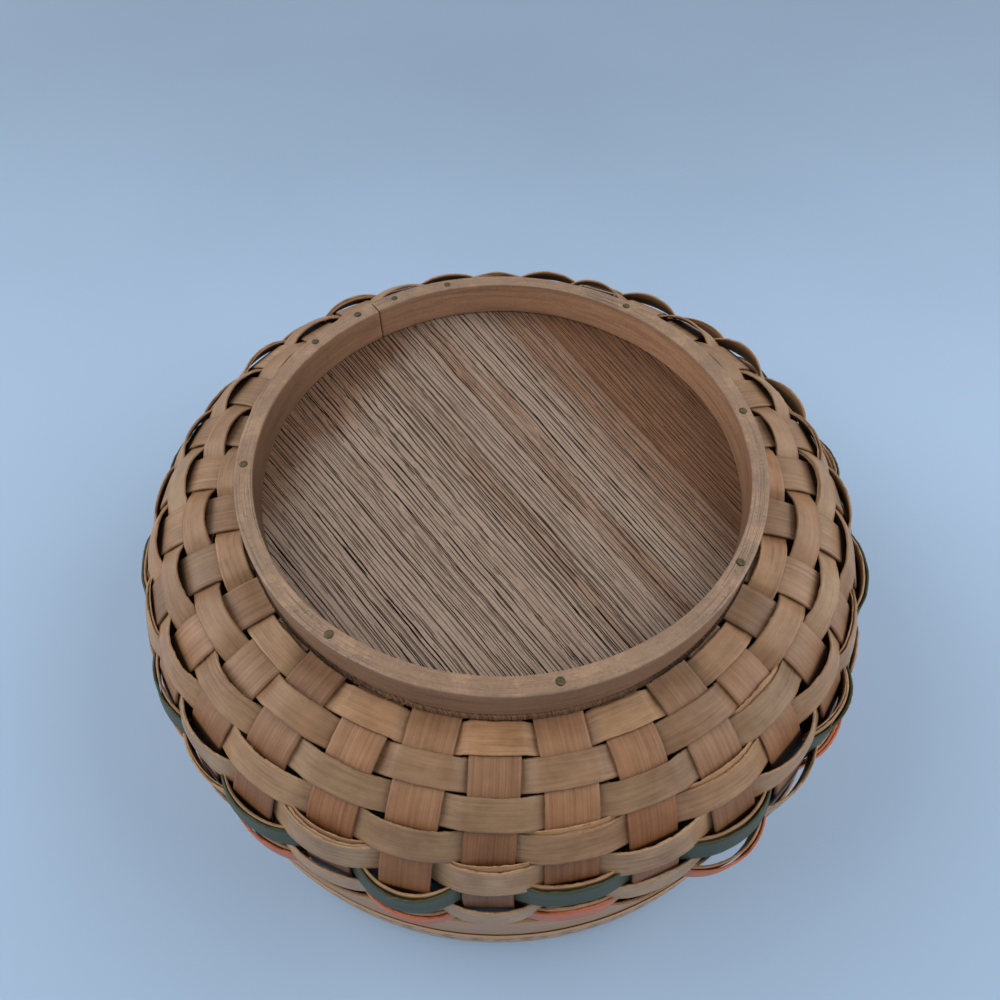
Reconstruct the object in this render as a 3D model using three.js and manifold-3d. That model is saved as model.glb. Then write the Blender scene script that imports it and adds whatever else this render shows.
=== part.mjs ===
// Woven splint basket, shown as it was stored: upside down, on its rim, with the foot hoop on top.
// Units are millimetres and Z points up. The origin is the middle of the circle on which the rim
// stands. For use the basket is turned over, half a turn about X.
import * as THREE from 'three';
import { mergeVertices } from 'three/addons/utils/BufferGeometryUtils.js';
import Module from 'manifold-3d';

const wasm = await Module();
wasm.setup();

const degrees = Math.PI / 180;

// Overall height, and the clearance left where one piece lies on another
const totalHeight = 137;
const seat = 0.3;

// Foot hoop: a strip of solid wood bent to a circle, butted at one seam
const hoopRadius = 98;
const hoopWall = 6.5;
const hoopDepth = 15.3;
const seamAngle = 125.5 * degrees;
const seamGap = 0.4;

// Base panel of plywood under the hoop, its edge just proud of the hoop
const panelProud = 0.6;
const panelThickness = 3.2;

// Clamp ring inside the basket, which presses the spokes against the panel
const clampThickness = 3;
const clampInset = 1;
const clampLap = 3;

// Brads through hoop, panel, spokes and clamp ring: four beside the seam, the rest spread by hand
const bradHeadRadius = 1.5;
const bradHeadThickness = 0.7;
const bradHeadSink = 0.1;
const bradShankRadius = 0.7;
const bradLength = 22;
const bradPoint = 1.6;
const bradTurnsFromSeam = [-20.5, -5.5, 5.5, 19.5, 61, 110, 155.5, 202, 245, 290];

// Spokes: broad splints that run from under the panel down the wall to the rim
const spokeCount = 32;
const spokeWidth = 16.6;
const spokeThickness = 1.2;
const firstSpokeAngle = -90.6 * degrees;
const spokeEndHeight = 1.5;

// Weavers: thin splints that go round, over one spoke and under the next
const rowCount = 10;
const weaverThickness = 0.9;
const weaverClearance = 0.4;
const layerClearance = 0.35;
const rowGap = 0.5;
const firstRowGap = 0.5;
const edgeMargin = 0.3;
const lapSpokes = 2;
const firstLapIndex = 5;
const lapStepCount = 11;

// Where each over stretch of the loose middle rows bows away from its spoke
const firstBowedRowIndex = 4;
const lastBowedRowIndex = 8;
const bow = 2.2;

// Dyed splints laid over the natural weaver of two rows
const dyedRows = new Map([[6, 'green'], [8, 'orange']]);
const dyedInset = 1.1;
const dyedLapShiftCount = 7;

// Wall profile, measured to the middle of the spokes
const shoulderStart = 6;
const shoulderReach = 28;
const bellyRadius = 147.7;
const bellyHeight = 68;
const bellyRise = 33;
const bellyFall = 13;
const waistRadius = 142.2;
const waistHeight = 44.5;
const waistRise = 4;
const rimFlare = 0.8;

// Rim: a broad outer band, a narrow strip round its edge and a thinner band inside
const bandHeight = 43.5;
const bandThickness = 2.2;
const stripHeight = 16;
const stripThickness = 1.4;
const linerHeight = 24;
const linerThickness = 2;
const bandToRow = 0.8;

// Facets round the circles
const hoopSides = 60;
const bandSides = 60;
const hiddenSides = 40;
const bradSides = 8;

const finishes = {
  hoop: new THREE.MeshStandardMaterial({ color: 0xb08a68, roughness: 0.6, metalness: 0 }),
  panel: new THREE.MeshStandardMaterial({ color: 0x8c7461, roughness: 0.8, metalness: 0 }),
  brass: new THREE.MeshStandardMaterial({ color: 0x8a7a3c, roughness: 0.45, metalness: 0.9 }),
  spoke: new THREE.MeshStandardMaterial({ color: 0x96714f, roughness: 0.65, metalness: 0 }),
  natural: new THREE.MeshStandardMaterial({ color: 0xad8a63, roughness: 0.55, metalness: 0 }),
  green: new THREE.MeshStandardMaterial({ color: 0x323e34, roughness: 0.5, metalness: 0 }),
  orange: new THREE.MeshStandardMaterial({ color: 0xb06e50, roughness: 0.55, metalness: 0 }),
  band: new THREE.MeshStandardMaterial({ color: 0x9a7450, roughness: 0.6, metalness: 0 }),
};

// Heights and radii that follow from the sizes above
const panelTop = totalHeight - hoopDepth - seat;
const panelBottom = panelTop - panelThickness;
const panelRadius = hoopRadius + panelProud;
const deckHeight = panelBottom - seat - spokeThickness / 2;
const clampTop = deckHeight - spokeThickness / 2 - seat;
const clampOuter = hoopRadius - clampInset;
const spokeStart = (spokeWidth / 2 + seat) / Math.tan(Math.PI / spokeCount);
const bradRadius = hoopRadius - hoopWall / 2;
const bradTop = totalHeight - bradHeadSink;
const spokeStep = (2 * Math.PI) / spokeCount;
const rimRadius = waistRadius + rimFlare;

// How far a broad flat spoke and the flats of a faceted band reach past their nominal circle
const spokeCornerRise = Math.hypot(rimRadius, spokeWidth / 2) - rimRadius;
const bandFlatDrop = rimRadius * (1 - Math.cos(Math.PI / bandSides));

const group = new THREE.Group();

function addPiece(name, geometry, material) {
  const mesh = new THREE.Mesh(geometry, material);
  mesh.name = name;
  group.add(mesh);
}

// A closed ring turned round Z from corners given as radius and height, anticlockwise
function turnedRing(corners, sides) {
  const points = corners.map(([radius, height]) => new THREE.Vector2(radius, height));
  points.push(points[0].clone());
  return new THREE.LatheGeometry(points, sides).rotateX(Math.PI / 2);
}

function solidOf(geometry) {
  const bare = geometry.clone();
  bare.deleteAttribute('normal');
  bare.deleteAttribute('uv');
  const welded = mergeVertices(bare, 1e-4);
  const vertProperties = new Float32Array(welded.attributes.position.array);
  const triVerts = new Uint32Array(welded.index.array);
  return new wasm.Manifold(new wasm.Mesh({ numProp: 3, vertProperties, triVerts }));
}

function geometryOf(solid) {
  const mesh = solid.getMesh();
  const geometry = new THREE.BufferGeometry();
  geometry.setAttribute('position', new THREE.BufferAttribute(mesh.vertProperties, 3));
  geometry.setIndex(new THREE.BufferAttribute(mesh.triVerts, 1));
  geometry.computeVertexNormals();
  return geometry;
}

// A brad, or the hole drilled for it when it is given some clearance
function bradShape(clearance) {
  const head = bradHeadRadius + clearance;
  const shank = bradShankRadius + clearance;
  const above = clearance > 0 ? 1 : 0;
  const neck = -bradHeadThickness - clearance;
  const outline = [
    [0, -bradLength - clearance],
    [shank, -bradLength + bradPoint - clearance],
    [shank, neck],
    [head, neck],
    [head, above],
    [0, above],
  ];
  const points = outline.map(([radius, height]) => new THREE.Vector2(radius, height));
  return new THREE.LatheGeometry(points, bradSides).rotateX(Math.PI / 2);
}

function bradAngles() {
  return bradTurnsFromSeam.map((turn) => seamAngle + turn * degrees);
}

function placeBrad(geometry, angle) {
  return geometry.translate(bradRadius, 0, bradTop).rotateZ(angle);
}

function drill(geometry, angles) {
  let solid = solidOf(geometry);
  for (const angle of angles) {
    solid = solid.subtract(solidOf(placeBrad(bradShape(seat), angle)));
  }
  return solid;
}

// The wall's profile in the plane of radius and height, from under the panel to the rim
function wallCurves() {
  const start = new THREE.Vector2(spokeStart, deckHeight);
  const shoulder = new THREE.Vector2(hoopRadius + shoulderStart, deckHeight);
  const belly = new THREE.Vector2(bellyRadius, bellyHeight);
  const waist = new THREE.Vector2(waistRadius, waistHeight);
  const rim = new THREE.Vector2(rimRadius, 0);
  const flare = rim.clone().sub(waist).normalize();
  const end = waist.clone().lerp(rim, (waistHeight - spokeEndHeight) / waistHeight);
  const shoulderPull = new THREE.Vector2(shoulder.x + shoulderReach, deckHeight);
  const bellyPull = new THREE.Vector2(bellyRadius, bellyHeight + bellyRise);
  const bellyDrop = new THREE.Vector2(bellyRadius, bellyHeight - bellyFall);
  const waistPull = waist.clone().addScaledVector(flare, -waistRise);
  return [
    new THREE.LineCurve(start, shoulder),
    new THREE.CubicBezierCurve(shoulder, shoulderPull, bellyPull, belly),
    new THREE.CubicBezierCurve(belly, bellyDrop, waistPull, waist),
    new THREE.LineCurve(waist, end),
  ];
}

const wall = new THREE.CurvePath();
wallCurves().forEach((curve) => wall.add(curve));
const wallLength = wall.getLength();

function wallPoint(distance) {
  return wall.getPoint(distance / wallLength);
}

// Radius of the flared spokes at a height beside the rim bands
function flareRadius(height) {
  return rimRadius + ((waistRadius - rimRadius) * height) / waistHeight;
}

function distanceAtHeight(height) {
  const samples = 600;
  for (let i = samples; i > 0; i -= 1) {
    const distance = (wallLength * i) / samples;
    if (wallPoint(distance).y >= height) return distance;
  }
  return 0;
}

// Rows fill the wall evenly, from just outside the panel to just above the rim band
const rowsStart = panelRadius + firstRowGap - spokeStart;
const rowsEnd = distanceAtHeight(bandHeight + bandToRow);
const rowPitch = (rowsEnd - rowsStart) / rowCount;
const weaverWidth = rowPitch - rowGap;

function rowEdge(index) {
  return wallPoint(rowsStart + index * rowPitch);
}

// A point given by radius, height and sideways shift in the upright plane of one spoke
function inSpokePlane(flat, sideways, angle) {
  const c = Math.cos(angle);
  const s = Math.sin(angle);
  return new THREE.Vector3(flat.x * c - sideways * s, flat.x * s + sideways * c, flat.y);
}

// A closed strip through sections of four corners each, in turn outer, inner, inner and outer
function stripGeometry(sections) {
  const positions = sections.flat().flatMap((corner) => corner.toArray());
  const index = [0, 1, 2, 0, 2, 3];
  for (let i = 0; i + 1 < sections.length; i += 1) {
    for (let side = 0; side < 4; side += 1) {
      const a = 4 * i + side;
      const b = 4 * i + ((side + 1) % 4);
      index.push(a, a + 4, b + 4, a, b + 4, b);
    }
  }
  const last = 4 * (sections.length - 1);
  index.push(last, last + 2, last + 1, last, last + 3, last + 2);
  const geometry = new THREE.BufferGeometry();
  geometry.setAttribute('position', new THREE.Float32BufferAttribute(positions, 3));
  geometry.setIndex(index);
  geometry.computeVertexNormals();
  return geometry;
}

function outward(from, to) {
  const along = to.clone().sub(from).normalize();
  return new THREE.Vector2(-along.y, along.x);
}

// A spoke bends at the edges of the rows, so that each weaver lies flat on it
function spokeGeometry(angle) {
  const stations = [wallPoint(0)];
  for (let i = 0; i <= rowCount; i += 1) stations.push(rowEdge(i));
  stations.push(wallPoint(wallLength));
  const sections = stations.map((point, i) => {
    const before = i > 0 ? outward(stations[i - 1], point) : outward(point, stations[i + 1]);
    const after = i + 1 < stations.length ? outward(point, stations[i + 1]) : before;
    const normal = before.clone().add(after).normalize();
    const half = spokeThickness / 2 / normal.dot(before);
    const outer = point.clone().addScaledVector(normal, half);
    const inner = point.clone().addScaledVector(normal, -half);
    return [
      inSpokePlane(outer, -spokeWidth / 2, angle),
      inSpokePlane(outer, spokeWidth / 2, angle),
      inSpokePlane(inner, spokeWidth / 2, angle),
      inSpokePlane(inner, -spokeWidth / 2, angle),
    ];
  });
  return stripGeometry(sections);
}

function isOver(row, spoke) {
  return (row + spoke) % 2 === 1;
}

// The spoke at which a row starts, always one that the row passes inside
function lapSpoke(row, shift) {
  const spoke = (firstLapIndex + row * lapStepCount + shift) % spokeCount;
  return isOver(row, spoke) ? (spoke + 1) % spokeCount : spoke;
}

function lapsAt(start, spoke) {
  return (spoke - start + spokeCount) % spokeCount <= lapSpokes ? 2 : 1;
}

// Distance of a splint's middle from the spoke's middle, outward above zero
function layerOffset(over, layer, layers) {
  const first = spokeThickness / 2 + weaverClearance + weaverThickness / 2;
  const step = weaverThickness + layerClearance;
  return over ? first + layer * step : -first - (layers - 1 - layer) * step;
}

// One round of a splint, with its end lapped over its start
function splintGeometry(row, start, width, layerAt) {
  const from = rowEdge(row - 1);
  const to = rowEdge(row);
  const middle = from.clone().lerp(to, 0.5);
  const along = to.clone().sub(from).normalize();
  const normal = outward(from, to);
  const bows = row >= firstBowedRowIndex && row <= lastBowedRowIndex;
  const sections = [];
  const addSection = (offset, sideways, angle) => {
    const edges = [
      [width / 2, weaverThickness / 2],
      [-width / 2, weaverThickness / 2],
      [-width / 2, -weaverThickness / 2],
      [width / 2, -weaverThickness / 2],
    ];
    const section = edges.map(([down, out]) => {
      const flat = middle.clone().addScaledVector(along, down).addScaledVector(normal, offset + out);
      return inSpokePlane(flat, sideways, angle);
    });
    sections.push(section);
  };
  const reach = spokeWidth / 2 + edgeMargin;
  for (let visit = 0; visit <= spokeCount + lapSpokes; visit += 1) {
    const spoke = (start + visit) % spokeCount;
    const over = isOver(row, spoke);
    const angle = firstSpokeAngle + spoke * spokeStep;
    const offset = layerAt(spoke, over, visit >= spokeCount);
    addSection(offset, -reach, angle);
    if (over && bows) addSection(offset + bow, 0, angle);
    addSection(offset, reach, angle);
  }
  return stripGeometry(sections);
}

function addRow(row) {
  const colour = dyedRows.get(row);
  const start = lapSpoke(row, 0);
  const dyedStart = lapSpoke(row, dyedLapShiftCount);
  const layersAt = (spoke) => lapsAt(start, spoke) + (colour ? lapsAt(dyedStart, spoke) : 0);
  const naturalLayer = (spoke, over, second) => layerOffset(over, second ? 1 : 0, layersAt(spoke));
  const natural = splintGeometry(row, start, weaverWidth, naturalLayer);
  addPiece(`weaver_row_${String(row).padStart(2, '0')}`, natural, finishes.natural);
  if (!colour) return;
  const dyedLayer = (spoke, over, second) => {
    const below = lapsAt(start, spoke);
    return layerOffset(over, below + (second ? 1 : 0), layersAt(spoke));
  };
  const dyed = splintGeometry(row, dyedStart, weaverWidth - dyedInset, dyedLayer);
  addPiece(`${colour}_splint`, dyed, finishes[colour]);
}

function addBase() {
  const angles = bradAngles();
  const inner = hoopRadius - hoopWall;
  const hoopBottom = totalHeight - hoopDepth;
  const hoop = turnedRing([
    [inner, hoopBottom],
    [hoopRadius, hoopBottom],
    [hoopRadius, totalHeight],
    [inner, totalHeight],
  ], hoopSides);
  const seam = new THREE.BoxGeometry(2 * hoopWall, seamGap, 2 * hoopDepth);
  seam.translate(bradRadius, 0, totalHeight - hoopDepth / 2).rotateZ(seamAngle);
  addPiece('base_hoop', geometryOf(drill(hoop, angles).subtract(solidOf(seam))), finishes.hoop);

  const panel = new THREE.CylinderGeometry(panelRadius, panelRadius, panelThickness, hoopSides);
  panel.rotateX(Math.PI / 2).translate(0, 0, panelBottom + panelThickness / 2);
  addPiece('base_panel', geometryOf(drill(panel, angles)), finishes.panel);

  const clampInner = spokeStart - clampLap;
  const clamp = turnedRing([
    [clampInner, clampTop - clampThickness],
    [clampOuter, clampTop - clampThickness],
    [clampOuter, clampTop],
    [clampInner, clampTop],
  ], hiddenSides);
  addPiece('clamp_ring', geometryOf(drill(clamp, angles)), finishes.panel);

  angles.forEach((angle, i) => {
    addPiece(`brad_${String(i + 1).padStart(2, '0')}`, placeBrad(bradShape(0), angle), finishes.brass);
  });
}

function addSpokes() {
  const angles = bradAngles();
  const nearBrad = (spoke, brad) => {
    const turn = Math.atan2(Math.sin(brad - spoke), Math.cos(brad - spoke));
    return Math.abs(turn) < spokeStep;
  };
  for (let i = 0; i < spokeCount; i += 1) {
    const angle = firstSpokeAngle + i * spokeStep;
    const drilled = drill(spokeGeometry(angle), angles.filter((brad) => nearBrad(angle, brad)));
    addPiece(`spoke_${String(i + 1).padStart(2, '0')}`, geometryOf(drilled), finishes.spoke);
  }
}

// A flared ring between two distances outside the middle of the spokes
function flaredRing(near, far, height, sides) {
  return turnedRing([
    [rimRadius + near, 0],
    [rimRadius + far, 0],
    [flareRadius(height) + far, height],
    [flareRadius(height) + near, height],
  ], sides);
}

function addRim() {
  const bandNear = spokeThickness / 2 + spokeCornerRise + bandFlatDrop + seat;
  const bandFar = bandNear + bandThickness;
  const stripNear = bandFar + seat;
  const linerFar = -spokeThickness / 2 - seat;
  addPiece('rim_band', flaredRing(bandNear, bandFar, bandHeight, bandSides), finishes.band);
  const strip = flaredRing(stripNear, stripNear + stripThickness, stripHeight, bandSides);
  addPiece('rim_strip', strip, finishes.hoop);
  const liner = flaredRing(linerFar - linerThickness, linerFar, linerHeight, hiddenSides);
  addPiece('rim_liner', liner, finishes.band);
}

addBase();
addSpokes();
for (let row = 1; row <= rowCount; row += 1) addRow(row);
addRim();

export default group;
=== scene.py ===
"""Looks of a woven splint basket that stands upside down on its rim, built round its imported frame."""
import math
from collections import namedtuple
from functools import reduce

import bpy
import numpy as np
from mathutils import Matrix, Vector


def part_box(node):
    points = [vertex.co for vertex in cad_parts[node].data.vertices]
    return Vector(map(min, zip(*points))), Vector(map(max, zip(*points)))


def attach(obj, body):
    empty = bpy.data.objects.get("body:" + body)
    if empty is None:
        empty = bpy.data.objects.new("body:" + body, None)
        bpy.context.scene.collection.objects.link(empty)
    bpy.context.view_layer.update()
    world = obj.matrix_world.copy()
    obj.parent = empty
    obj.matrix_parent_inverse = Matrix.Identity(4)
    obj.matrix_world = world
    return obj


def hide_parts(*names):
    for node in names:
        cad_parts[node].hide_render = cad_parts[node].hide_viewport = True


bl_info = {
    "name": "Woven splint basket",
    "version": (1, 0, 0),
    "blender": (4, 5, 0),
    "location": "3D View > Sidebar > Basket",
    "description": "Splints, bent bands, base and brads of a woven basket, with their finishes",
    "category": "Add Mesh",
}

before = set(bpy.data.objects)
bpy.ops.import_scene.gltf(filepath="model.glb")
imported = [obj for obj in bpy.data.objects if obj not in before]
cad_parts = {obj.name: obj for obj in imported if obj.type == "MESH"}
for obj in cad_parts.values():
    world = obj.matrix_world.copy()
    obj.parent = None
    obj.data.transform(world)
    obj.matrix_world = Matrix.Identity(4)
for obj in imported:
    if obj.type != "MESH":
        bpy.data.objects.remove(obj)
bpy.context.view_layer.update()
hoop_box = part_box("base_hoop")
panel_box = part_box("base_panel")
band_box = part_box("rim_band")

BODY = "root"
MM = 0.001
TURN = 2 * math.pi

# The camera stands where the hoop's circles in the photograph put it
CAMERA_PLACE = (-0.52 * MM, -180.45 * MM, 351.69 * MM)
CAMERA_PITCH = math.radians(54.292)
CAMERA_ROLL = math.radians(0.378)
CAMERA_LENS = 27
SENSOR_WIDTH = 36

# Place in metres and power in watts of each lamp
LAMPS = {"left window": ((-1.5, 0.15, 1.3), 25), "right window": ((1.5, 0.15, 1.3), 24)}
LAMP_WIDTH = 1.8
LAMP_TINT = (1.0, 0.98, 0.95)
LAMP_AIM = (0, 0, 0.08)
SKY_TINT = (0.90, 0.95, 1.0, 1)
# Brightness of the sky by height, its two ends first
SKY_LEVELS = {0.0: 0.66, 1.0: 0.28, 0.25: 0.76, 0.5: 0.64, 0.75: 0.42}
FLOOR_WIDTH = 12

# Sections round each turned or bent piece, cuts through the panel's edge and rows of faces up a band
PANEL_POINTS = 1440
PANEL_CUTS = 6
HOOP_STEPS = 360
BAND_STEPS = 420
BAND_ROWS = 10
RING_STEPS = 240
HEAD_STEPS = 32

# Where the painted light on the hoop's inner wall is brightest, and the rows that a dyed splint covers
HOOP_LIT = math.radians(70)
DYED_ROWS = {6: "green", 8: "orange"}

# Hairs along each splint's upper edge, the rings that each has and the sections that its root spans
HAIRS_ON_EDGE = 20
HAIR_RINGS = 5
HAIR_SPAN = 6
# Directions in degrees from +X in which long hairs stand up behind the hoop
STANDING_HAIRS = (77, 83, 86, 112, 131)

# The sections of a splint: their middles, directions sideways and outward, and distances along it
Run = namedtuple("Run", "centre side outward along")

# Upper edges of the woven splints, kept for the loose fibres: points, directions outward and down
loose_edges = []


def linear(red, green, blue):
    """A colour given as it shows on a screen, 0 to 255, as the linear colour that a shader takes."""
    parts = [c / 255 for c in (red, green, blue)]
    return [p / 12.92 if p <= 0.04045 else ((p + 0.055) / 1.055) ** 2.4 for p in parts]


def size(name, description, default):
    """A length in metres that the panel shows."""
    return bpy.props.FloatProperty(
        name=name, description=description, default=default, unit="LENGTH", precision=5
    )


def offset(name, description, x, y):
    """A sideways offset in metres that the panel shows."""
    return bpy.props.FloatVectorProperty(
        name=name, description=description, size=2, default=(x, y), unit="LENGTH"
    )


def turn(name, description, degrees):
    """An angle that the panel shows, given in degrees."""
    return bpy.props.FloatProperty(
        name=name, description=description, default=math.radians(degrees), subtype="ANGLE"
    )


def number(name, description, default):
    """A whole number that the panel shows."""
    return bpy.props.IntProperty(name=name, description=description, default=default)


def colour(name, description, screen):
    """A colour that the panel shows, given as it shows on a screen."""
    return bpy.props.FloatVectorProperty(
        name=name, description=description, default=linear(*screen), subtype="COLOR", min=0, max=1
    )


class WallSizes(bpy.types.PropertyGroup):
    """The wall's profile, measured to the middle of the spokes."""

    shoulder_start: size("Shoulder start", "Flat stretch of the spokes outside the hoop", 6 * MM)
    shoulder_reach: size("Shoulder reach", "Pull of the curve at the shoulder", 28 * MM)
    belly_radius: size("Belly radius", "Widest radius of the spokes", 147.0 * MM)
    belly_height: size("Belly height", "Height of the widest place", 68 * MM)
    belly_rise: size("Belly rise", "Pull of the curve above the belly", 33 * MM)
    belly_fall: size("Belly fall", "Pull of the curve below the belly", 13 * MM)
    waist_radius: size("Waist radius", "Radius where the rim flare starts", 142.2 * MM)
    waist_height: size("Waist height", "Height where the rim flare starts", 44.5 * MM)
    waist_rise: size("Waist rise", "Pull of the curve above the waist", 4 * MM)
    rim_radius: size("Rim radius", "Radius of the spokes at the rim", 143 * MM)
    spoke_end: size("Spoke end", "Height at which the spokes end inside the rim", 1.5 * MM)
    belly_sway: offset("Belly sway", "How far the belly stands off centre", 1.2 * MM, 0.4 * MM)
    rim_sway: offset("Rim sway", "How far the rim stands off centre", -0.9 * MM, -1.4 * MM)


class WeaveSizes(bpy.types.PropertyGroup):
    """Spokes and weavers."""

    spoke_count: number("Spokes", "Number of spokes", 32)
    row_count: number("Rows", "Number of weavers", 10)
    first_spoke: turn("First spoke", "Angle of the first spoke", -90.6)
    spoke_width: size("Spoke width", "Width of a spoke", 16.6 * MM)
    spoke_thickness: size("Spoke thickness", "Thickness of a spoke", 1.2 * MM)
    spoke_wave: size("Spoke wave", "How far a spoke gives way to each weaver", 0.25 * MM)
    weaver_thickness: size("Weaver thickness", "Thickness of a weaver", 0.9 * MM)
    spoke_clearance: size("Spoke clearance", "Gap between weaver and spoke", 0.15 * MM)
    layer_clearance: size("Layer clearance", "Gap between two weavers of one row", 0.1 * MM)
    row_gap: size("Row gap", "Gap between neighbouring rows", 0.1 * MM)
    first_row_gap: size("First row gap", "Gap between base panel and first row", 0.5 * MM)
    band_gap: size("Band gap", "Gap between last row and rim band", 0.8 * MM)
    lap_spokes: number("Lap", "Spokes that a lapped end passes", 2)
    first_lap: number("First lap", "Spoke at which the laps start", 5)
    lap_step: number("Lap step", "Spokes from one row's lap to the next", 11)
    dyed_lap_shift: number("Dyed lap", "Spokes from a row's lap to its dyed lap", 7)
    dyed_inset: size("Dyed inset", "How much narrower a dyed splint is", 0.8 * MM)
    dyed_drop: size("Dyed drop", "How far a dyed splint sits below its weaver's middle", 0.3 * MM)
    step: size("Step", "Length between two sections of a splint", 0.8 * MM)


class BaseSizes(bpy.types.PropertyGroup):
    """Foot hoop, base panel and brads. Their defaults come from the frame."""

    hoop_radius: size("Hoop radius", "Outer radius of the foot hoop", hoop_box[1].x)
    hoop_wall: size("Hoop wall", "Thickness of the hoop's wood", 6.5 * MM)
    hoop_top: size("Hoop top", "Height of the hoop's end face", hoop_box[1].z)
    hoop_bottom: size("Hoop bottom", "Height at which the hoop meets the panel", hoop_box[0].z)
    seam: turn("Seam", "Angle of the hoop's butt seam", 125.5)
    seam_gap: size("Seam gap", "Width of the seam", 0.4 * MM)
    panel_radius: size("Panel radius", "Radius of the base panel", panel_box[1].x)
    panel_top: size("Panel top", "Height of the panel's face", panel_box[1].z)
    panel_bottom: size("Panel bottom", "Height of the panel's underside", panel_box[0].z)
    panel_grain: turn("Panel grain", "Direction of the panel's grain", -55)
    head_radius: size("Head radius", "Radius of a brad's head", 1.5 * MM)
    seat: size("Seat", "Gap left where one piece lies on another", 0.3 * MM)


class Finishes(bpy.types.PropertyGroup):
    """Colours of the pieces."""

    weaver_light: colour("Weaver, light", "Natural weavers, pale grain", (174, 137, 102))
    weaver_dark: colour("Weaver, dark", "Natural weavers, dark grain", (120, 85, 57))
    spoke_light: colour("Spoke, light", "Spokes, pale grain", (161, 122, 90))
    spoke_dark: colour("Spoke, dark", "Spokes, dark grain", (110, 74, 48))
    torn_edge: colour("Torn edge", "Fibres at torn edges", (172, 134, 100))
    green_dye: colour("Green dye", "Green splint", (60, 67, 43))
    orange_dye: colour("Orange dye", "Orange splint", (204, 112, 74))
    hoop_light: colour("Hoop, light", "Foot hoop, pale grain", (150, 114, 88))
    hoop_dark: colour("Hoop, dark", "Foot hoop, dark grain", (108, 76, 56))
    hoop_end: colour("Hoop, end face", "Sanded end face of the hoop", (140, 115, 93))
    panel_light: colour("Panel, light", "Base panel between the pores", (153, 134, 119))
    panel_brown: colour("Panel, brown", "Base panel, brown streaks", (122, 89, 67))
    panel_pore: colour("Panel, pore", "Open pores of the base panel", (13, 7, 4))
    band_light: colour("Band, light", "Rim band, pale grain", (184, 144, 108))
    band_dark: colour("Band, dark", "Rim band, dark grain", (142, 102, 72))
    strip_light: colour("Strip, light", "Rim strip, pale grain", (184, 150, 116))
    leaf: colour("Leaf", "Painted leaves and stem", (36, 45, 26))
    berry: colour("Berry", "Painted berries", (104, 38, 62))
    brass: colour("Brass", "Brad heads", (104, 92, 62))
    floor: colour("Floor", "Floor", (160, 185, 214))


class Part:
    """A socket of a shader under construction. Arithmetic on it adds Math nodes."""

    def __init__(self, finish, socket):
        self.finish = finish
        self.socket = socket

    def math(self, operation, *values):
        """A Math node."""
        return self.finish.node("ShaderNodeMath", {"operation": operation}, values)

    def __add__(self, other):
        return self.math("ADD", self, other)

    __radd__ = __add__

    def __sub__(self, other):
        return self.math("SUBTRACT", self, other)

    def __rsub__(self, other):
        return self.math("SUBTRACT", other, self)

    def __mul__(self, other):
        return self.math("MULTIPLY", self, other)

    __rmul__ = __mul__

    def __truediv__(self, other):
        return self.math("DIVIDE", self, other)

    def __pow__(self, other):
        return self.math("POWER", self, other)

    def maximum(self, other):
        return self.math("MAXIMUM", self, other)

    def minimum(self, other):
        return self.math("MINIMUM", self, other)

    def absolute(self):
        return self.math("ABSOLUTE", self)

    def sine(self):
        return self.math("SINE", self)

    def floor(self):
        return self.math("FLOOR", self)

    def between(self, low, high):
        """Rises smoothly from 0 at low to 1 at high, or falls where high is the smaller."""
        return self.finish.node(
            "ShaderNodeMapRange",
            {"interpolation_type": "SMOOTHSTEP", "clamp": True},
            [self, low, high, 0.0, 1.0],
        )


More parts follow.
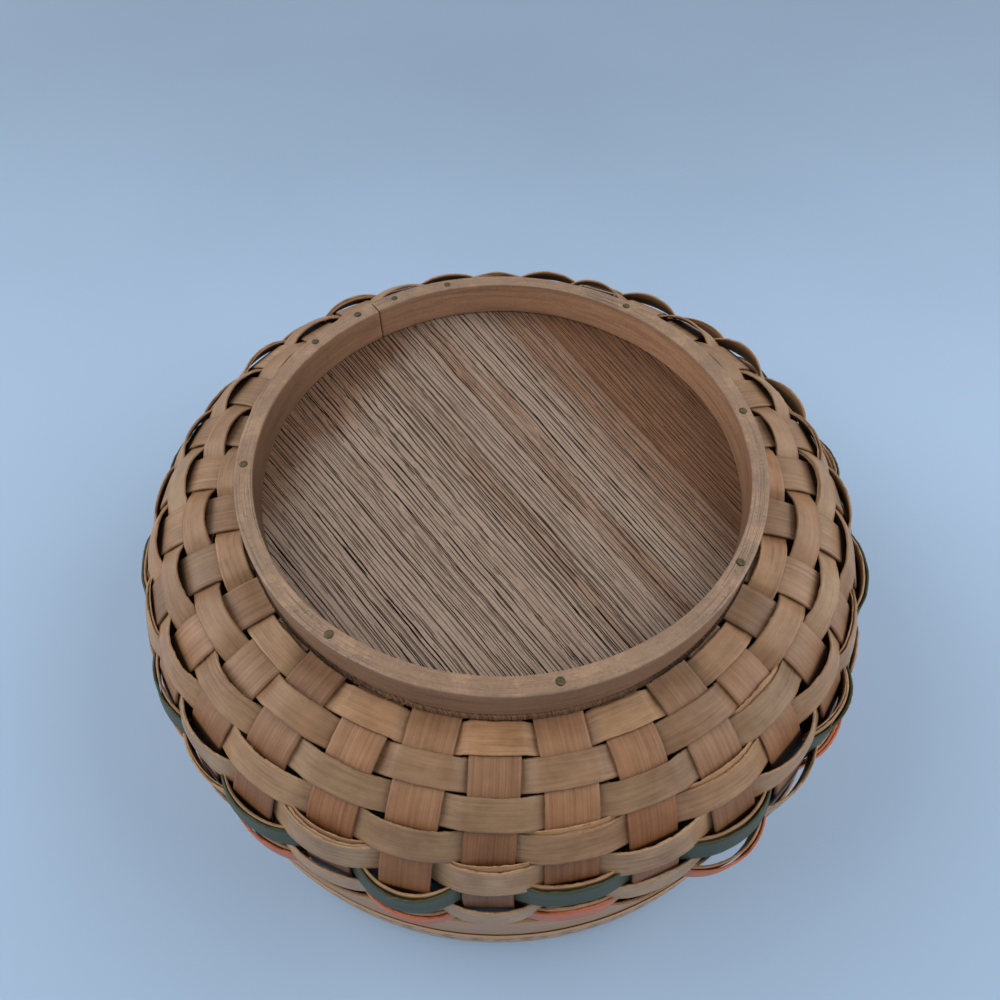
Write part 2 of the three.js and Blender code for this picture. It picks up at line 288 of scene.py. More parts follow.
class Finish:
    """A material under construction."""

    def __init__(self, name):
        self.material = bpy.data.materials.new(name)
        self.material.use_nodes = True
        self.tree = self.material.node_tree
        self.tree.nodes.clear()
        self.object_place = self.node("ShaderNodeTexCoord", {}, {}, "Object")

    def node(self, kind, settings, inputs, output=0):
        """A node of a kind, its settings first, then the values or links of its inputs."""
        made = self.tree.nodes.new(kind)
        for name, value in settings.items():
            setattr(made, name, value)
        pairs = inputs.items() if isinstance(inputs, dict) else enumerate(inputs)
        for key, value in pairs:
            if isinstance(value, Part):
                self.tree.links.new(value.socket, made.inputs[key])
            elif value is not None:
                made.inputs[key].default_value = value
        return Part(self, made.outputs[output])

    def attribute(self, name, output="Fac"):
        """A value that the mesh carries."""
        settings = {"attribute_type": "GEOMETRY", "attribute_name": name}
        return self.node("ShaderNodeAttribute", settings, {}, output)

    def scaled(self, vector, factors):
        """A vector with each of its three parts multiplied by a factor."""
        return self.node("ShaderNodeVectorMath", {"operation": "MULTIPLY"}, [vector, factors])

    def axes(self, vector):
        """The three parts of a vector."""
        split = self.node("ShaderNodeSeparateXYZ", {}, [vector])
        outputs = split.socket.node.outputs
        return [Part(self, outputs[i]) for i in range(3)]

    def vector(self, x, y, z):
        """A vector made of three values."""
        return self.node("ShaderNodeCombineXYZ", {}, [x, y, z])

    def noise(self, vector, scale=1.0, detail=2.0, rough=0.5, warp=0.0):
        """Soft noise about 0.5, with about as many marks in each metre of the vector as the scale says."""
        values = {"Vector": vector, "Scale": scale, "Detail": detail}
        values.update({"Roughness": rough, "Distortion": warp})
        return self.node("ShaderNodeTexNoise", {"noise_dimensions": "3D"}, values)

    def streaks(self, grain, along, across, detail=2.0, warp=0.0):
        """Noise drawn out along the grain, with marks of the given lengths in metres."""
        stretched = self.scaled(grain, (1 / along, 1 / across, 1 / across))
        return self.noise(stretched, 1.0, detail, 0.55, warp)

    def rings(self, across, spacing, bend):
        """Growth rings across the grain, from 0 to 1."""
        return (across * (TURN / spacing) + bend).sine() * 0.5 + 0.5

    def chance(self, cell):
        """A random number from 0 to 1 for each whole number."""
        return self.node("ShaderNodeTexWhiteNoise", {"noise_dimensions": "1D"}, {"W": cell})

    def pore_lines(self, along, across, spacing, width, length, amount):
        """Thin broken lines along the grain, one in each strip of the given spacing."""

        def run(scale, place, seed, detail):
            """Noise along a line, with marks of the given length."""
            return self.noise(self.vector(along * (1 / scale), place, spacing * seed), 1.0, detail)

        sway = run(20 * MM, across * (1 / (7 * MM)), 1e4, 2.0)
        strip = (across + (sway - 0.5) * (spacing * 0.7)) / spacing
        cell = strip.floor()
        centre = (self.chance(cell) - 0.5) * 0.55
        shown = run(length, cell * 7.31, 2e4, 1.0) + (self.chance(cell + 0.37) - 0.5) * 0.3
        broken = shown.between(0.62 - amount * 0.3, 0.68 - amount * 0.3)
        swell = run(7 * MM, cell * 3.7, 3e4, 2.0) * 1.2 + 0.45
        away = (strip - cell - 0.5 - centre).absolute() * spacing
        strength = self.chance(cell + 0.71) * 0.3 + 0.7
        return (away / (swell * width)).between(0.64, 0.5) * broken * strength

    def mix(self, first, second, share, blend="MIX"):
        """The first colour turning into the second as the share goes from 0 to 1."""
        settings = {"data_type": "RGBA", "blend_type": blend, "clamp_factor": True}
        four = [c if isinstance(c, Part) else (*c[:3], 1) for c in (first, second)]
        return self.node("ShaderNodeMix", settings, {0: share, 6: four[0], 7: four[1]}, 2)

    def shade(self, paint, value):
        """The colour made lighter or darker by a factor."""
        grey = self.vector(value, value, value)
        return self.mix(paint, grey, 1.0, "MULTIPLY")

    def bump(self, height, distance, strength):
        """A normal that follows a height from 0 to 1, as deep as the distance in metres."""
        values = {"Height": height, "Distance": distance, "Strength": strength}
        return self.node("ShaderNodeBump", {}, values)

    def surface(self, paint, roughness, normal=None, **constants):
        """The finished material. Constants are set on the shader's own sockets."""
        values = {"Base Color": paint, "Roughness": roughness, "Normal": normal}
        values.update({name.replace("_", " "): value for name, value in constants.items()})
        shader = self.node("ShaderNodeBsdfPrincipled", {}, values)
        output = self.tree.nodes.new("ShaderNodeOutputMaterial")
        self.tree.links.new(shader.socket, output.inputs["Surface"])
        return self.material


def dim(paint, share):
    """A colour made darker."""
    return [c * share for c in paint]


def splint_finish(name, light, dark, edge, flow, contrast, straight, dye=None):
    """Split wood: fine streaks along the length, soft patches, flowing figure and torn light edges.

    Flow is how far the figure bends, contrast how strong the grain is, and straight how calm and long.
    """
    f = Finish(name)
    grain = f.attribute("grain", "Vector")
    tone = f.attribute("tone")
    torn = f.attribute("edge")
    fine = f.streaks(grain, (14 + 30 * straight) * MM, 0.4 * MM, 4.0)
    medium = f.streaks(grain, (26 + 40 * straight) * MM, 1.0 * MM, 3.0, 0.3)
    patch = f.streaks(grain, (18 + 14 * straight) * MM, 6.5 * MM, 3.0, 0.6)
    drift = f.streaks(grain, 30 * MM, 8 * MM, 2.0)
    rings = f.rings(f.axes(grain)[1], 2.1 * MM, drift * flow)
    where = f.streaks(grain, 70 * MM, 14 * MM, 1.0)
    figure = rings ** 2.0 * where.between(0.5, 0.64) * 0.5
    mottle = f.noise(f.object_place, 110.0, 5.0, 0.65)
    share = (fine - 0.5) * (0.9 + 0.5 * straight) + (medium - 0.5) * 0.6
    share = share + (patch - 0.5) * (0.8 - 0.3 * straight) + (mottle - 0.5) * 1.1 + figure * 0.4
    share = (share * contrast + 0.4).maximum(0.0).minimum(1.0)
    paint = f.mix(light, dark, share)
    warm = f.streaks(grain, 46 * MM, 9.0 * MM, 2.0).between(0.45, 0.75)
    paint = f.mix(paint, [light[0] * 0.86, light[1] * 0.7, light[2] * 0.56], warm * 0.14)
    pores = f.streaks(grain, 4 * MM, 0.14 * MM, 1.0).between(0.66, 0.76) * 0.3
    paint = f.mix(paint, dim(dark, 0.5), pores)
    if dye is not None:
        worn = f.noise(f.object_place, 240.0, 4.0, 0.7).between(0.66, 0.84)
        dyed = f.mix(dye, dim(dye, 0.6), share)
        paint = f.mix(dyed, paint, worn * 0.35)
    fibres = f.streaks(grain, 3.5 * MM, 0.12 * MM, 2.0)
    frayed = torn * (fibres.between(0.3, 0.6) * 0.7 + 0.2) * (0.5 if dye else 0.75)
    paint = f.mix(paint, dye or edge, frayed)
    paint = f.mix(paint, dim(dark, 0.4), torn * fibres.between(0.5, 0.36) * 0.7)
    red = f.attribute("warmth")
    tint = f.vector(tone, tone * (1.0 - red * 0.22), tone * (1.0 - red * 0.39))
    paint = f.mix(paint, tint, 1.0, "MULTIPLY")
    height = fine * 0.5 + medium * 0.4 + patch * 0.5 - pores * 0.9
    normal = f.bump(height, 0.14 * MM, 0.5)
    rough = fine * 0.14 + 0.42 + torn * 0.2
    return f.surface(paint, rough, normal, Specular_IOR_Level=0.4)


def hoop_finish(colours):
    """Solid bent wood: a sanded end face with grey flecks, and soft flowing figure on its walls."""
    f = Finish("bent_hoop_wood")
    grain = f.attribute("grain", "Vector")
    tone = f.attribute("tone")
    end = f.attribute("edge")
    fine = f.streaks(grain, 12 * MM, 0.3 * MM, 3.0)
    medium = f.streaks(grain, 40 * MM, 1.6 * MM, 3.0, 0.5)
    drift = f.streaks(grain, 60 * MM, 9 * MM, 2.0, 0.4)
    rings = f.rings(f.axes(grain)[2], 5.5 * MM, drift * 22.0)
    share = (medium - 0.5) * 1.2 + (fine - 0.5) * 0.7 + (rings ** 3.0) * 0.22 * (1.0 - end * 0.8) + 0.3
    paint = f.mix(colours.hoop_light, colours.hoop_dark, share.maximum(0.0).minimum(1.0))
    paint = f.mix(paint, colours.hoop_end, end * (0.75 - (medium - 0.5) * 1.5))
    flecks = f.streaks(grain, 2.4 * MM, 0.22 * MM, 1.0).between(0.62, 0.72) * 0.5
    paint = f.mix(paint, dim(colours.hoop_dark, 0.42), flecks)
    soil = f.streaks(grain, 60 * MM, 12 * MM, 3.0).between(0.46, 0.66)
    stain = f.noise(f.object_place, 75.0, 4.0, 0.65)
    paint = f.mix(paint, linear(166, 134, 106), stain.between(0.5, 0.36) * end * 0.6)
    paint = f.mix(paint, linear(112, 92, 74), stain.between(0.52, 0.66) * end * 0.45)
    grit = f.noise(f.object_place, 950.0, 2.0, 0.7)
    paint = f.shade(paint, grit * 0.5 + 0.75)
    speck = f.noise(f.object_place, 520.0, 3.0, 0.7).between(0.56, 0.7)
    line = f.streaks(grain, 26 * MM, 0.45 * MM, 2.0).between(0.5, 0.64)
    paint = f.mix(paint, linear(98, 82, 70), (speck * 0.8 + line * 0.9) * (soil * 0.9 + 0.3) * end)
    paint = f.shade(paint, tone)
    normal = f.bump(fine * 0.7 + medium * 0.4 - flecks, 0.15 * MM, 0.5)
    return f.surface(paint, fine * 0.15 + 0.45, normal)


def panel_finish(colours, sizes):
    """Raw open-grained plywood: long dark pores on grey-brown wood, browner and finer to one side."""
    f = Finish("open_grained_plywood")
    turned = f.node(
        "ShaderNodeMapping", {"vector_type": "TEXTURE"},
        {"Vector": f.object_place, "Rotation": (0, 0, sizes.panel_grain)},
    )
    along, across = f.axes(turned)[:2]
    bend = f.noise(f.scaled(turned, (9.0, 16.0, 0.0)), 1.0, 2.0) - 0.5
    fanned = across * (1.0 + along * 1.3) + bend * (3.0 * MM)
    field = f.vector(along, fanned, 0.0)
    wide = f.streaks(field, 260 * MM, 13 * MM, 3.0)
    middle = f.streaks(field, 110 * MM, 3.4 * MM, 3.0)
    fine = f.streaks(field, 30 * MM, 0.35 * MM, 3.0)
    cloud = f.noise(f.object_place, 16.0, 3.0, 0.6)
    brown = (fanned + (wide - 0.5) * (50 * MM) + (cloud - 0.5) * (30 * MM)).between(26 * MM, 66 * MM)
    band = (fanned + (cloud - 0.5) * (14 * MM) - 17 * MM).absolute().between(8 * MM, 2 * MM)
    second = (fanned + (cloud - 0.5) * (14 * MM) + 8 * MM).absolute().between(6 * MM, 1 * MM)
    streak = band.maximum(second * 0.7) * middle.between(0.3, 0.6)
    corner = (along + fanned * 0.5 + (cloud - 0.5) * (60 * MM)).between(-66 * MM, -84 * MM)
    browned = brown.maximum(streak * 0.7).maximum(corner * 0.8)
    paint = f.mix(colours.panel_light, colours.panel_brown, browned)
    paint = f.mix(paint, linear(122, 96, 76), wide.between(0.5, 0.72) * 0.35)
    paint = f.mix(paint, linear(164, 146, 128), middle.between(0.5, 0.75) * (0.22 - brown * 0.15))
    paint = f.mix(paint, dim(colours.panel_brown, 0.45), (fine - 0.4).maximum(0.0) * 1.3)
    dust = f.noise(f.object_place, 1300.0, 3.0, 0.7)
    paint = f.shade(paint, dust * 0.6 + 0.62 + wide * 0.16)
    long_lines = f.pore_lines(along, fanned, 2.3 * MM, 0.35 * MM, 75 * MM, 1.15)
    short_lines = f.pore_lines(along, fanned, 1.8 * MM, 0.30 * MM, 24 * MM, 0.75)
    thin_lines = f.pore_lines(along, fanned, 1.0 * MM, 0.22 * MM, 8 * MM, 0.45)
    dark_band = (fanned + 26 * MM).absolute().between(5 * MM, 1.5 * MM)
    lines = long_lines.maximum(short_lines).maximum(thin_lines * (0.65 + dark_band * 0.35))
    lines = lines * (middle.between(0.32, 0.6) * 0.4 + 0.7)
    paint = f.mix(paint, colours.panel_pore, lines * (1.0 - brown * 0.2))
    rim = f.attribute("edge")
    splinters = f.streaks(field, 3 * MM, 0.4 * MM, 2.0)
    torn = f.mix(linear(88, 62, 44), linear(140, 108, 84), splinters.between(0.35, 0.65))
    # Painted shade: the torn edge is darker away from the front
    near_front = f.axes(f.object_place)[1].between(-80 * MM, -96 * MM)
    torn = f.shade(torn, near_front * 0.8 + 0.2)
    paint = f.mix(paint, torn, rim)
    normal = f.bump(dust * 0.3 - lines * (1.0 - rim), 0.06 * MM, 0.5)
    return f.surface(paint, 0.8, normal, Specular_IOR_Level=0.06)


def band_finish(name, light, dark, vine=None):
    """A broad bent band: calm figure along its length, and painted work where vine is given."""
    f = Finish(name)
    grain = f.attribute("grain", "Vector")
    tone = f.attribute("tone")
    fine = f.streaks(grain, 24 * MM, 0.32 * MM, 3.0)
    medium = f.streaks(grain, 70 * MM, 2.2 * MM, 2.0, 0.4)
    along, across = f.axes(grain)[:2]
    drift = f.streaks(grain, 60 * MM, 10 * MM, 1.0)
    rings = f.rings(across, 3.0 * MM, drift * 18.0)
    share = medium.between(0.3, 0.7) * 0.5 + fine.between(0.35, 0.75) * 0.3 + rings * 0.2
    paint = f.mix(light, dark, share)
    if vine is not None:
        paint = vine(f, along, across, paint)
    # Painted highlight along the band's top and bottom edges
    paint = f.mix(paint, linear(186, 152, 116), f.attribute("edge") * 0.3)
    paint = f.shade(paint, tone)
    normal = f.bump(fine * 0.6 + medium * 0.5, 0.12 * MM, 0.45)
    return f.surface(paint, fine * 0.15 + 0.45, normal)


def leaf_and_berry(colours, width):
    """A plain repeating vine: a waving stem, paired leaves and small bunches of berries.

    Leaves and berries are placed in shares of the period along the strip.
    """
    period = 46 * MM
    leaf_places = ((-0.36, 0.6), (-0.12, 0.35), (0.3, 0.55))
    berry_places = ((0.1, 1.5), (0.14, -0.6), (0.06, -1.2), (0.17, 1.9), (0.46, -1.7), (0.43, 0.4))

    def paint_on(f, along, across, paint):
        """Lays the vine on the wood, worn through in places."""
        loose = (f.noise(f.object_place, 120.0, 2.0) - 0.5) * (1.6 * MM)
        x = f.node("ShaderNodeMath", {"operation": "WRAP"}, [along, period / 2, -period / 2])
        y = across - width / 2 + loose
        swing = (along * (TURN / period)).sine() * (1.7 * MM)
        stem = (y - swing).absolute().between(0.5 * MM, 0.25 * MM)

        def spot(centre_x, centre_y, long, short, angle):
            """An oval, turned by an angle."""
            c, s = math.cos(angle), math.sin(angle)
            dx, dy = x - centre_x, y - centre_y
            a = (dx * c + dy * s) / long
            b = (dy * c - dx * s) / short
            return (a * a + b * b).between(1.15, 0.7)

        leaves = [
            spot(place * period, side * 2.7 * MM, 3.1 * MM, 1.15 * MM, side * tilt)
            for side in (-1, 1) for place, tilt in leaf_places
        ]
        berries = [spot(place * period, up * MM, 1.25 * MM, 1.2 * MM, 0) for place, up in berry_places]
        worn = f.noise(f.object_place, 420.0, 3.0, 0.7).between(0.68, 0.5) * 0.88
        paint = f.mix(paint, colours.leaf, reduce(Part.maximum, leaves, stem) * worn)
        return f.mix(paint, colours.berry, reduce(Part.maximum, berries) * worn)

    return paint_on


def brass_finish(colours):
    """Dulled brass with dark soil round the head."""
    f = Finish("dull_brass")
    stain = f.noise(f.object_place, 900.0, 4.0, 0.6)
    paint = f.mix(colours.brass, dim(colours.brass, 0.45), stain.between(0.35, 0.7))
    paint = f.mix(paint, linear(30, 23, 16), f.attribute("edge") * 0.85)
    normal = f.bump(stain, 0.08 * MM, 0.6)
    return f.surface(paint, stain * 0.3 + 0.35, normal, Metallic=0.6)


def floor_finish(colours):
    """A plain pale floor, with painted shade far behind the basket and a painted shadow inside its rim."""
    f = Finish("pale_floor")
    cloud = f.noise(f.object_place, 3.0, 3.0)
    paint = f.mix(colours.floor, dim(colours.floor, 0.94), cloud.between(0.3, 0.7))
    x, y = f.axes(f.object_place)[:2]
    # Painted shadow inside the rim, and painted shade far behind the basket
    inside = (x * x + y * y).between((136 * MM) ** 2, (128 * MM) ** 2)
    behind = y.between(50 * MM, 600 * MM)
    paint = f.shade(paint, (1.0 - behind * 0.3) * (1.0 - inside * 0.85))
    return f.surface(paint, 0.7)


def make_object(name, vertices, faces, material, replaces=()):
    """A mesh piece in the row frame, which rides on the body and stands for the given nodes."""
    mesh = bpy.data.meshes.new(name)
    mesh.from_pydata(vertices.reshape(-1, 3).tolist(), [], faces)
    mesh.update()
    piece = bpy.data.objects.new(name, mesh)
    bpy.context.scene.collection.objects.link(piece)
    return dress(piece, material, replaces)


def dress(piece, material, replaces=()):
    """Gives a finished mesh its material, slot and place on the body."""
    piece.data.materials.clear()
    piece.data.materials.append(material)
    for polygon in piece.data.polygons:
        polygon.use_smooth = True
    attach(piece, BODY)
    if replaces:
        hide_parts(*replaces)
    return piece


def add(primitive, name, **settings):
    """Adds a primitive while nothing else is selected."""
    bpy.ops.object.select_all(action="DESELECT")
    primitive(**settings)
    piece = bpy.context.object
    piece.name = name
    return piece


def select_faces(piece, chosen):
    """Selects the faces whose normals pass a test, for the next steps in edit mode."""
    bpy.ops.object.mode_set(mode="OBJECT")
    for polygon in piece.data.polygons:
        polygon.select = chosen(polygon.normal)
    bpy.ops.object.mode_set(mode="EDIT")


def apply_modifier(piece, kind, **settings):
    """Gives the active piece a modifier and applies it."""
    modifier = piece.modifiers.new(kind.capitalize(), kind)
    for name, value in settings.items():
        setattr(modifier, name, value)
    bpy.ops.object.modifier_apply(modifier=modifier.name)


def round_edges(piece, width, segments):
    """Rounds the sharp edges of the active piece."""
    apply_modifier(piece, "BEVEL", width=width, segments=segments, limit_method="ANGLE")


def store(mesh, **values):
    """Writes the attributes that the finishes read at each point: grain is a vector, the rest are numbers."""
    for name, at_points in values.items():
        kind, key = ("FLOAT_VECTOR", "vector") if name == "grain" else ("FLOAT", "value")
        attribute = mesh.attributes.new(name, kind, "POINT")
        attribute.data.foreach_set(key, np.asarray(at_points, np.float32).ravel())


def read_points(mesh):
    """A mesh's points, with their distances from the middle and their angles round it."""
    points = np.array([v.co for v in mesh.vertices])
    return points, np.hypot(points[:, 0], points[:, 1]), np.arctan2(points[:, 1], points[:, 0])


def move_points(mesh, radius, angle, height, off_centre=(0, 0)):
    """Puts a mesh's points at new distances, angles and heights round a middle."""
    moved = np.stack([radius * np.cos(angle), radius * np.sin(angle), height], -1)
    moved[:, :2] += off_centre
    mesh.vertices.foreach_set("co", moved.astype(np.float32).ravel())


def wander(rng, places, wavelength, reach):
    """A smooth random offset along a length, with about one swing in each wavelength."""
    spots = (places - places.min()) / wavelength
    first = spots.astype(int)
    part = spots - first
    part = part * part * (3 - 2 * part)
    knots = rng.normal(0, 1, first.max() + 2)
    return reach * (knots[first] * (1 - part) + knots[first + 1] * part)


def smoothstep(values):
    """Rises smoothly from 0 to 1 while the values do, and stays level beyond."""
    t = np.clip(values, 0, 1)
    return t * t * (3 - 2 * t)


def sway(wall, deck, height):
    """How far the hand-made wall stands off centre, for an array of heights."""
    belly = smoothstep((deck - height) / (deck - wall.belly_height))
    rim = smoothstep((wall.belly_height - height) / (wall.belly_height - wall.waist_height))
    belly_part = (belly * (1 - rim))[..., None] * np.array(wall.belly_sway)
    return belly_part + rim[..., None] * np.array(wall.rim_sway)


class Wall:
    """The wall's profile as radius and height along its length, from under the panel to the rim."""

    def __init__(self, wall, weave, base):
        deck = base.panel_bottom - base.seat - weave.spoke_thickness / 2
        half = math.pi / weave.spoke_count
        self.start = (weave.spoke_width / 2 + base.seat) / math.tan(half)
        self.sizes, self.deck = wall, deck
        shoulder = base.hoop_radius + wall.shoulder_start
        flare = np.array([wall.rim_radius - wall.waist_radius, -wall.waist_height])
        flare /= np.linalg.norm(flare)
        waist = np.array([wall.waist_radius, wall.waist_height])
        end = waist + flare * (wall.waist_height - wall.spoke_end) / -flare[1]
        belly, up = np.array([wall.belly_radius, wall.belly_height]), np.array([0, 1])
        upper = self.curve(
            (shoulder, deck), (shoulder + wall.shoulder_reach, deck), belly + up * wall.belly_rise, belly
        )
        lower = self.curve(belly, belly - up * wall.belly_fall, waist - flare * wall.waist_rise, waist)
        points = np.vstack([[(self.start, deck)], upper, lower[1:], [end]])
        length = np.concatenate([[0], np.cumsum(np.linalg.norm(np.diff(points, axis=0), axis=1))])
        self.length = length[-1]
        self.distance = np.linspace(0, self.length, 900)
        self.radius = np.interp(self.distance, length, points[:, 0])
        self.height = np.interp(self.distance, length, points[:, 1])
        self.radius_slope = np.gradient(self.radius, self.distance)
        self.height_slope = np.gradient(self.height, self.distance)
        above_band = np.nonzero(self.height >= band_box[1].z + weave.band_gap)[0]
        self.rows_start = base.panel_radius + weave.first_row_gap - self.start
        self.pitch = (self.distance[above_band[-1]] - self.rows_start) / weave.row_count

    @staticmethod
    def curve(a, b, c, d):
        """Points on a Bezier curve from a to d."""
        t = np.linspace(0, 1, 120)[:, None]
        a, b, c, d = (np.array(p, float) for p in (a, b, c, d))
        return (1 - t) ** 3 * a + 3 * (1 - t) ** 2 * t * b + 3 * (1 - t) * t ** 2 * c + t ** 3 * d

    def row_middle(self, row):
        """Distance from the spokes' inner ends to the middle of a row."""
        return self.rows_start + (row - 0.5) * self.pitch

    def place(self, distance, angle, out):
        """Centre, direction down the wall and direction outward, for arrays of distances and angles."""
        radius = np.interp(distance, self.distance, self.radius)
        height = np.interp(distance, self.distance, self.height)
        dr = np.interp(distance, self.distance, self.radius_slope)
        dz = np.interp(distance, self.distance, self.height_slope)
        norm = np.hypot(dr, dz)
        dr, dz = dr / norm, dz / norm
        cos, sin = np.cos(angle), np.sin(angle)
        down = np.stack([dr * cos, dr * sin, dz], -1)
        outward = np.stack([-dz * cos, -dz * sin, dr], -1)
        centre = np.stack([radius * cos, radius * sin, height], -1) + outward * out[:, None]
        centre[:, :2] += sway(self.sizes, self.deck, height)
        return centre, down, outward


# A splint's cross-section: places across it from -1 to 1, and through it in shares of its thickness
FACE = np.array([-1, -0.97, -0.86, -0.6, -0.3, 0, 0.3, 0.6, 0.86, 0.97, 1])
FACE_LIFT = np.array([0.15, 0.5, 0.5, 0.5, 0.5, 0.5, 0.5, 0.5, 0.5, 0.5, 0.15])
ACROSS = np.concatenate([FACE, FACE[::-1]])
THROUGH = np.concatenate([FACE_LIFT, -FACE_LIFT[::-1]])


def lean(down, outward, angle):
    """Turns the sections' two directions about the splint's length."""
    c, s = np.cos(angle)[:, None], np.sin(angle)[:, None]
    return down * c - outward * s, outward * c + down * s


def splint(name, material, replaces, run, halves, thickness, curl, rng, ragged, fray, tone, inner=None):
    """A thin strip through its run of sections, with ragged edges.

    Halves are its two half widths, upper and lower, and ragged and fray say how rough and how torn those
    edges are. Tone is how light and how red the splint is along its length, and inner how light its
    inner face is beside the outer one, by painted shade.
    """
    count = len(run.along)
    across = np.broadcast_to(ACROSS, (count, len(ACROSS)))
    reach = np.where(across < 0, halves[0][:, None], halves[1][:, None]) * across
    for face in (np.arange(len(FACE)), np.arange(len(FACE), len(ACROSS))):
        for side, amount in zip((-1, 1), ragged):
            rough = wander(rng, run.along, 5 * MM, 0.10 * MM) + wander(rng, run.along, 1.3 * MM, 0.07 * MM)
            rough = rough + rng.normal(0, 0.05 * MM, count)
            columns = face[(ACROSS[face] * side) > 0.9]
            reach[:, columns] += side * rough[:, None] * amount
    lift = THROUGH * thickness + curl[:, None] * across ** 2
    points = run.centre[:, None] + run.side[:, None] * reach[..., None]
    points = points + run.outward[:, None] * lift[..., None]
    torn = smoothstep((np.abs(across) - 0.86) / 0.14) * np.where(across < 0, *fray)
    light, red = (np.broadcast_to(values[:, None], reach.shape) for values in tone)
    if inner is not None:
        # Painted shade on the inner face, except in a thin rim along the upper edge
        deep = smoothstep((across + 0.8) / 0.7)
        light = np.where(THROUGH < 0, light * (1 - (1 - inner[:, None]) * deep), light)
    piece = make_object(name, points, strip_faces(points), material, replaces)
    seed = (sum(map(ord, name)) * 0.173) % 7.0
    along = np.broadcast_to(run.along[:, None], reach.shape)
    grain = np.stack([along, reach, lift], -1) + [seed, seed * 0.31, 0]
    store(piece.data, grain=grain, tone=light, warmth=red, edge=torn)


def strip_faces(points):
    """Faces of a closed strip through rings of points, all facing outwards."""
    count, ring = points.shape[:2]
    index = np.arange(count * ring).reshape(count, ring)
    following = np.roll(index, -1, axis=1)
    quads = np.stack([index[:-1], following[:-1], following[1:], index[1:]], -1).reshape(-1, 4)
    faces = quads.tolist() + [index[0][::-1].tolist(), index[-1].tolist()]
    sample, after = points[count // 2], points[count // 2 + 1]
    turned = np.cross(sample[1] - sample[0], after[0] - sample[0])
    if np.dot(turned, sample[0] - sample.mean(0)) < 0:
        faces = [face[::-1] for face in faces]
    return faces


# For each row from 0 on: how far an over stretch bulges in mm, its tilt as a share of that, its droop
# in mm, how much of its flat on the spoke is rounded off, and how torn its upper edge is
LOOSE_SIZES = (
    (0.1, 0.0, 0.0, 0.0, 0.1), (0.85, 1.0, 0.3, 0.6, 0.4), (0.9, 0.9, 0.4, 0.8, 0.4),
    (1.1, 1.0, 0.5, 0.85, 0.5), (1.3, 1.0, 0.6, 0.85, 0.6), (1.5, 1.0, 0.6, 0.85, 0.7),
    (1.5, 0.95, 0.6, 0.85, 0.6), (1.3, 0.85, 0.5, 0.85, 0.8), (1.3, 0.75, 0.4, 0.85, 0.6),
    (0.8, 0.3, 0.2, 0.8, 0.6), (0.4, 0.0, 0.0, 0.5, 0.4),
)
# From row 0 on: how light each row's splint is, how red or, below zero, how grey, and how much painted
# shade darkens it in front
ROW_TONES = (
    (1.0, 0.0, 0.0), (1.0, 0.0, 0.0), (0.95, 0.1, 0.32), (0.95, -0.1, 0.35), (0.96, -0.1, 0.18),
    (1.02, -0.5, 0.0), (1.0, -0.1, 0.0), (1.08, -0.5, 0.0), (1.0, -0.2, 0.0), (0.95, -0.2, 0.0),
    (0.95, 0.0, 0.0),
)
# How loose the stretches are round the basket: direction in degrees from +X, then shares of the above,
# for the bulge of the rows near the base, for that of the rows lower down and for every row's tilt
LOOSE_SIDES = (
    (-180, 1.0, 0.35, 1.0), (-165, 1.0, 0.25, 1.0), (-157, 1.1, 0.4, 1.0), (-150, 1.3, 1.5, 1.0),
    (-125, 0.5, 1.0, 0.6), (-100, 0.12, 0.9, 0.3), (-70, 0.1, 0.65, 0.3), (-50, 0.35, 1.4, 0.5),
    (-35, 0.7, 1.4, 0.8), (-25, 0.8, 0.5, 1.0), (0, 1.0, 0.8, 1.0), (25, 1.2, 0.85, 1.0),
    (40, 1.8, 1.4, 0.6), (60, 1.7, 1.3, 0.5), (80, 1.7, 0.9, 0.5), (110, 1.7, 0.8, 0.5),
    (130, 1.4, 0.7, 0.6), (150, 1.1, 0.5, 1.0), (180, 1.0, 0.35, 1.0),
)
# How far each row from 0 on lies below its even place, in mm: at the front and back, and at the sides
ROW_DROPS = (
    (0.0, 0.0), (0.25, 0.9), (0.75, 2.2), (1.1, 2.5), (1.35, 2.3), (1.5, 2.0), (0.0, 1.0), (0.0, 0.5),
    (0.0, 0.0), (0.0, 0.0), (0.0, 0.0),
)
# How far the spokes stand sideways of their even places, in mm: at the first rows and at the last
SPOKE_SHIFTS = (
    (-0.3, -2.8), (0.3, -4.4), (0.0, -5.0), (0.8, -3.0), (0.0, -3.5), (0.8, -1.0), (-0.6, -4.0), (2.4, 1.0),
    (3.8, 3.0), (3.6, 3.0), (3.5, 3.0), (3.5, 3.0), (3.8, 3.0), (4.0, 3.0), (4.2, 3.0), (4.3, 3.0),
    (4.3, 3.0), (4.0, 3.0), (3.4, 2.5), (2.4, 2.0), (1.5, 1.0), (0.7, 0.5), (0.0, 0.0), (0.2, 0.0),
    (0.0, 0.0), (-0.6, 0.0), (-1.1, -0.8), (-0.4, 0.0), (-0.2, 0.6), (-2.3, -0.6), (0.0, 1.0), (0.0, 0.0),
)
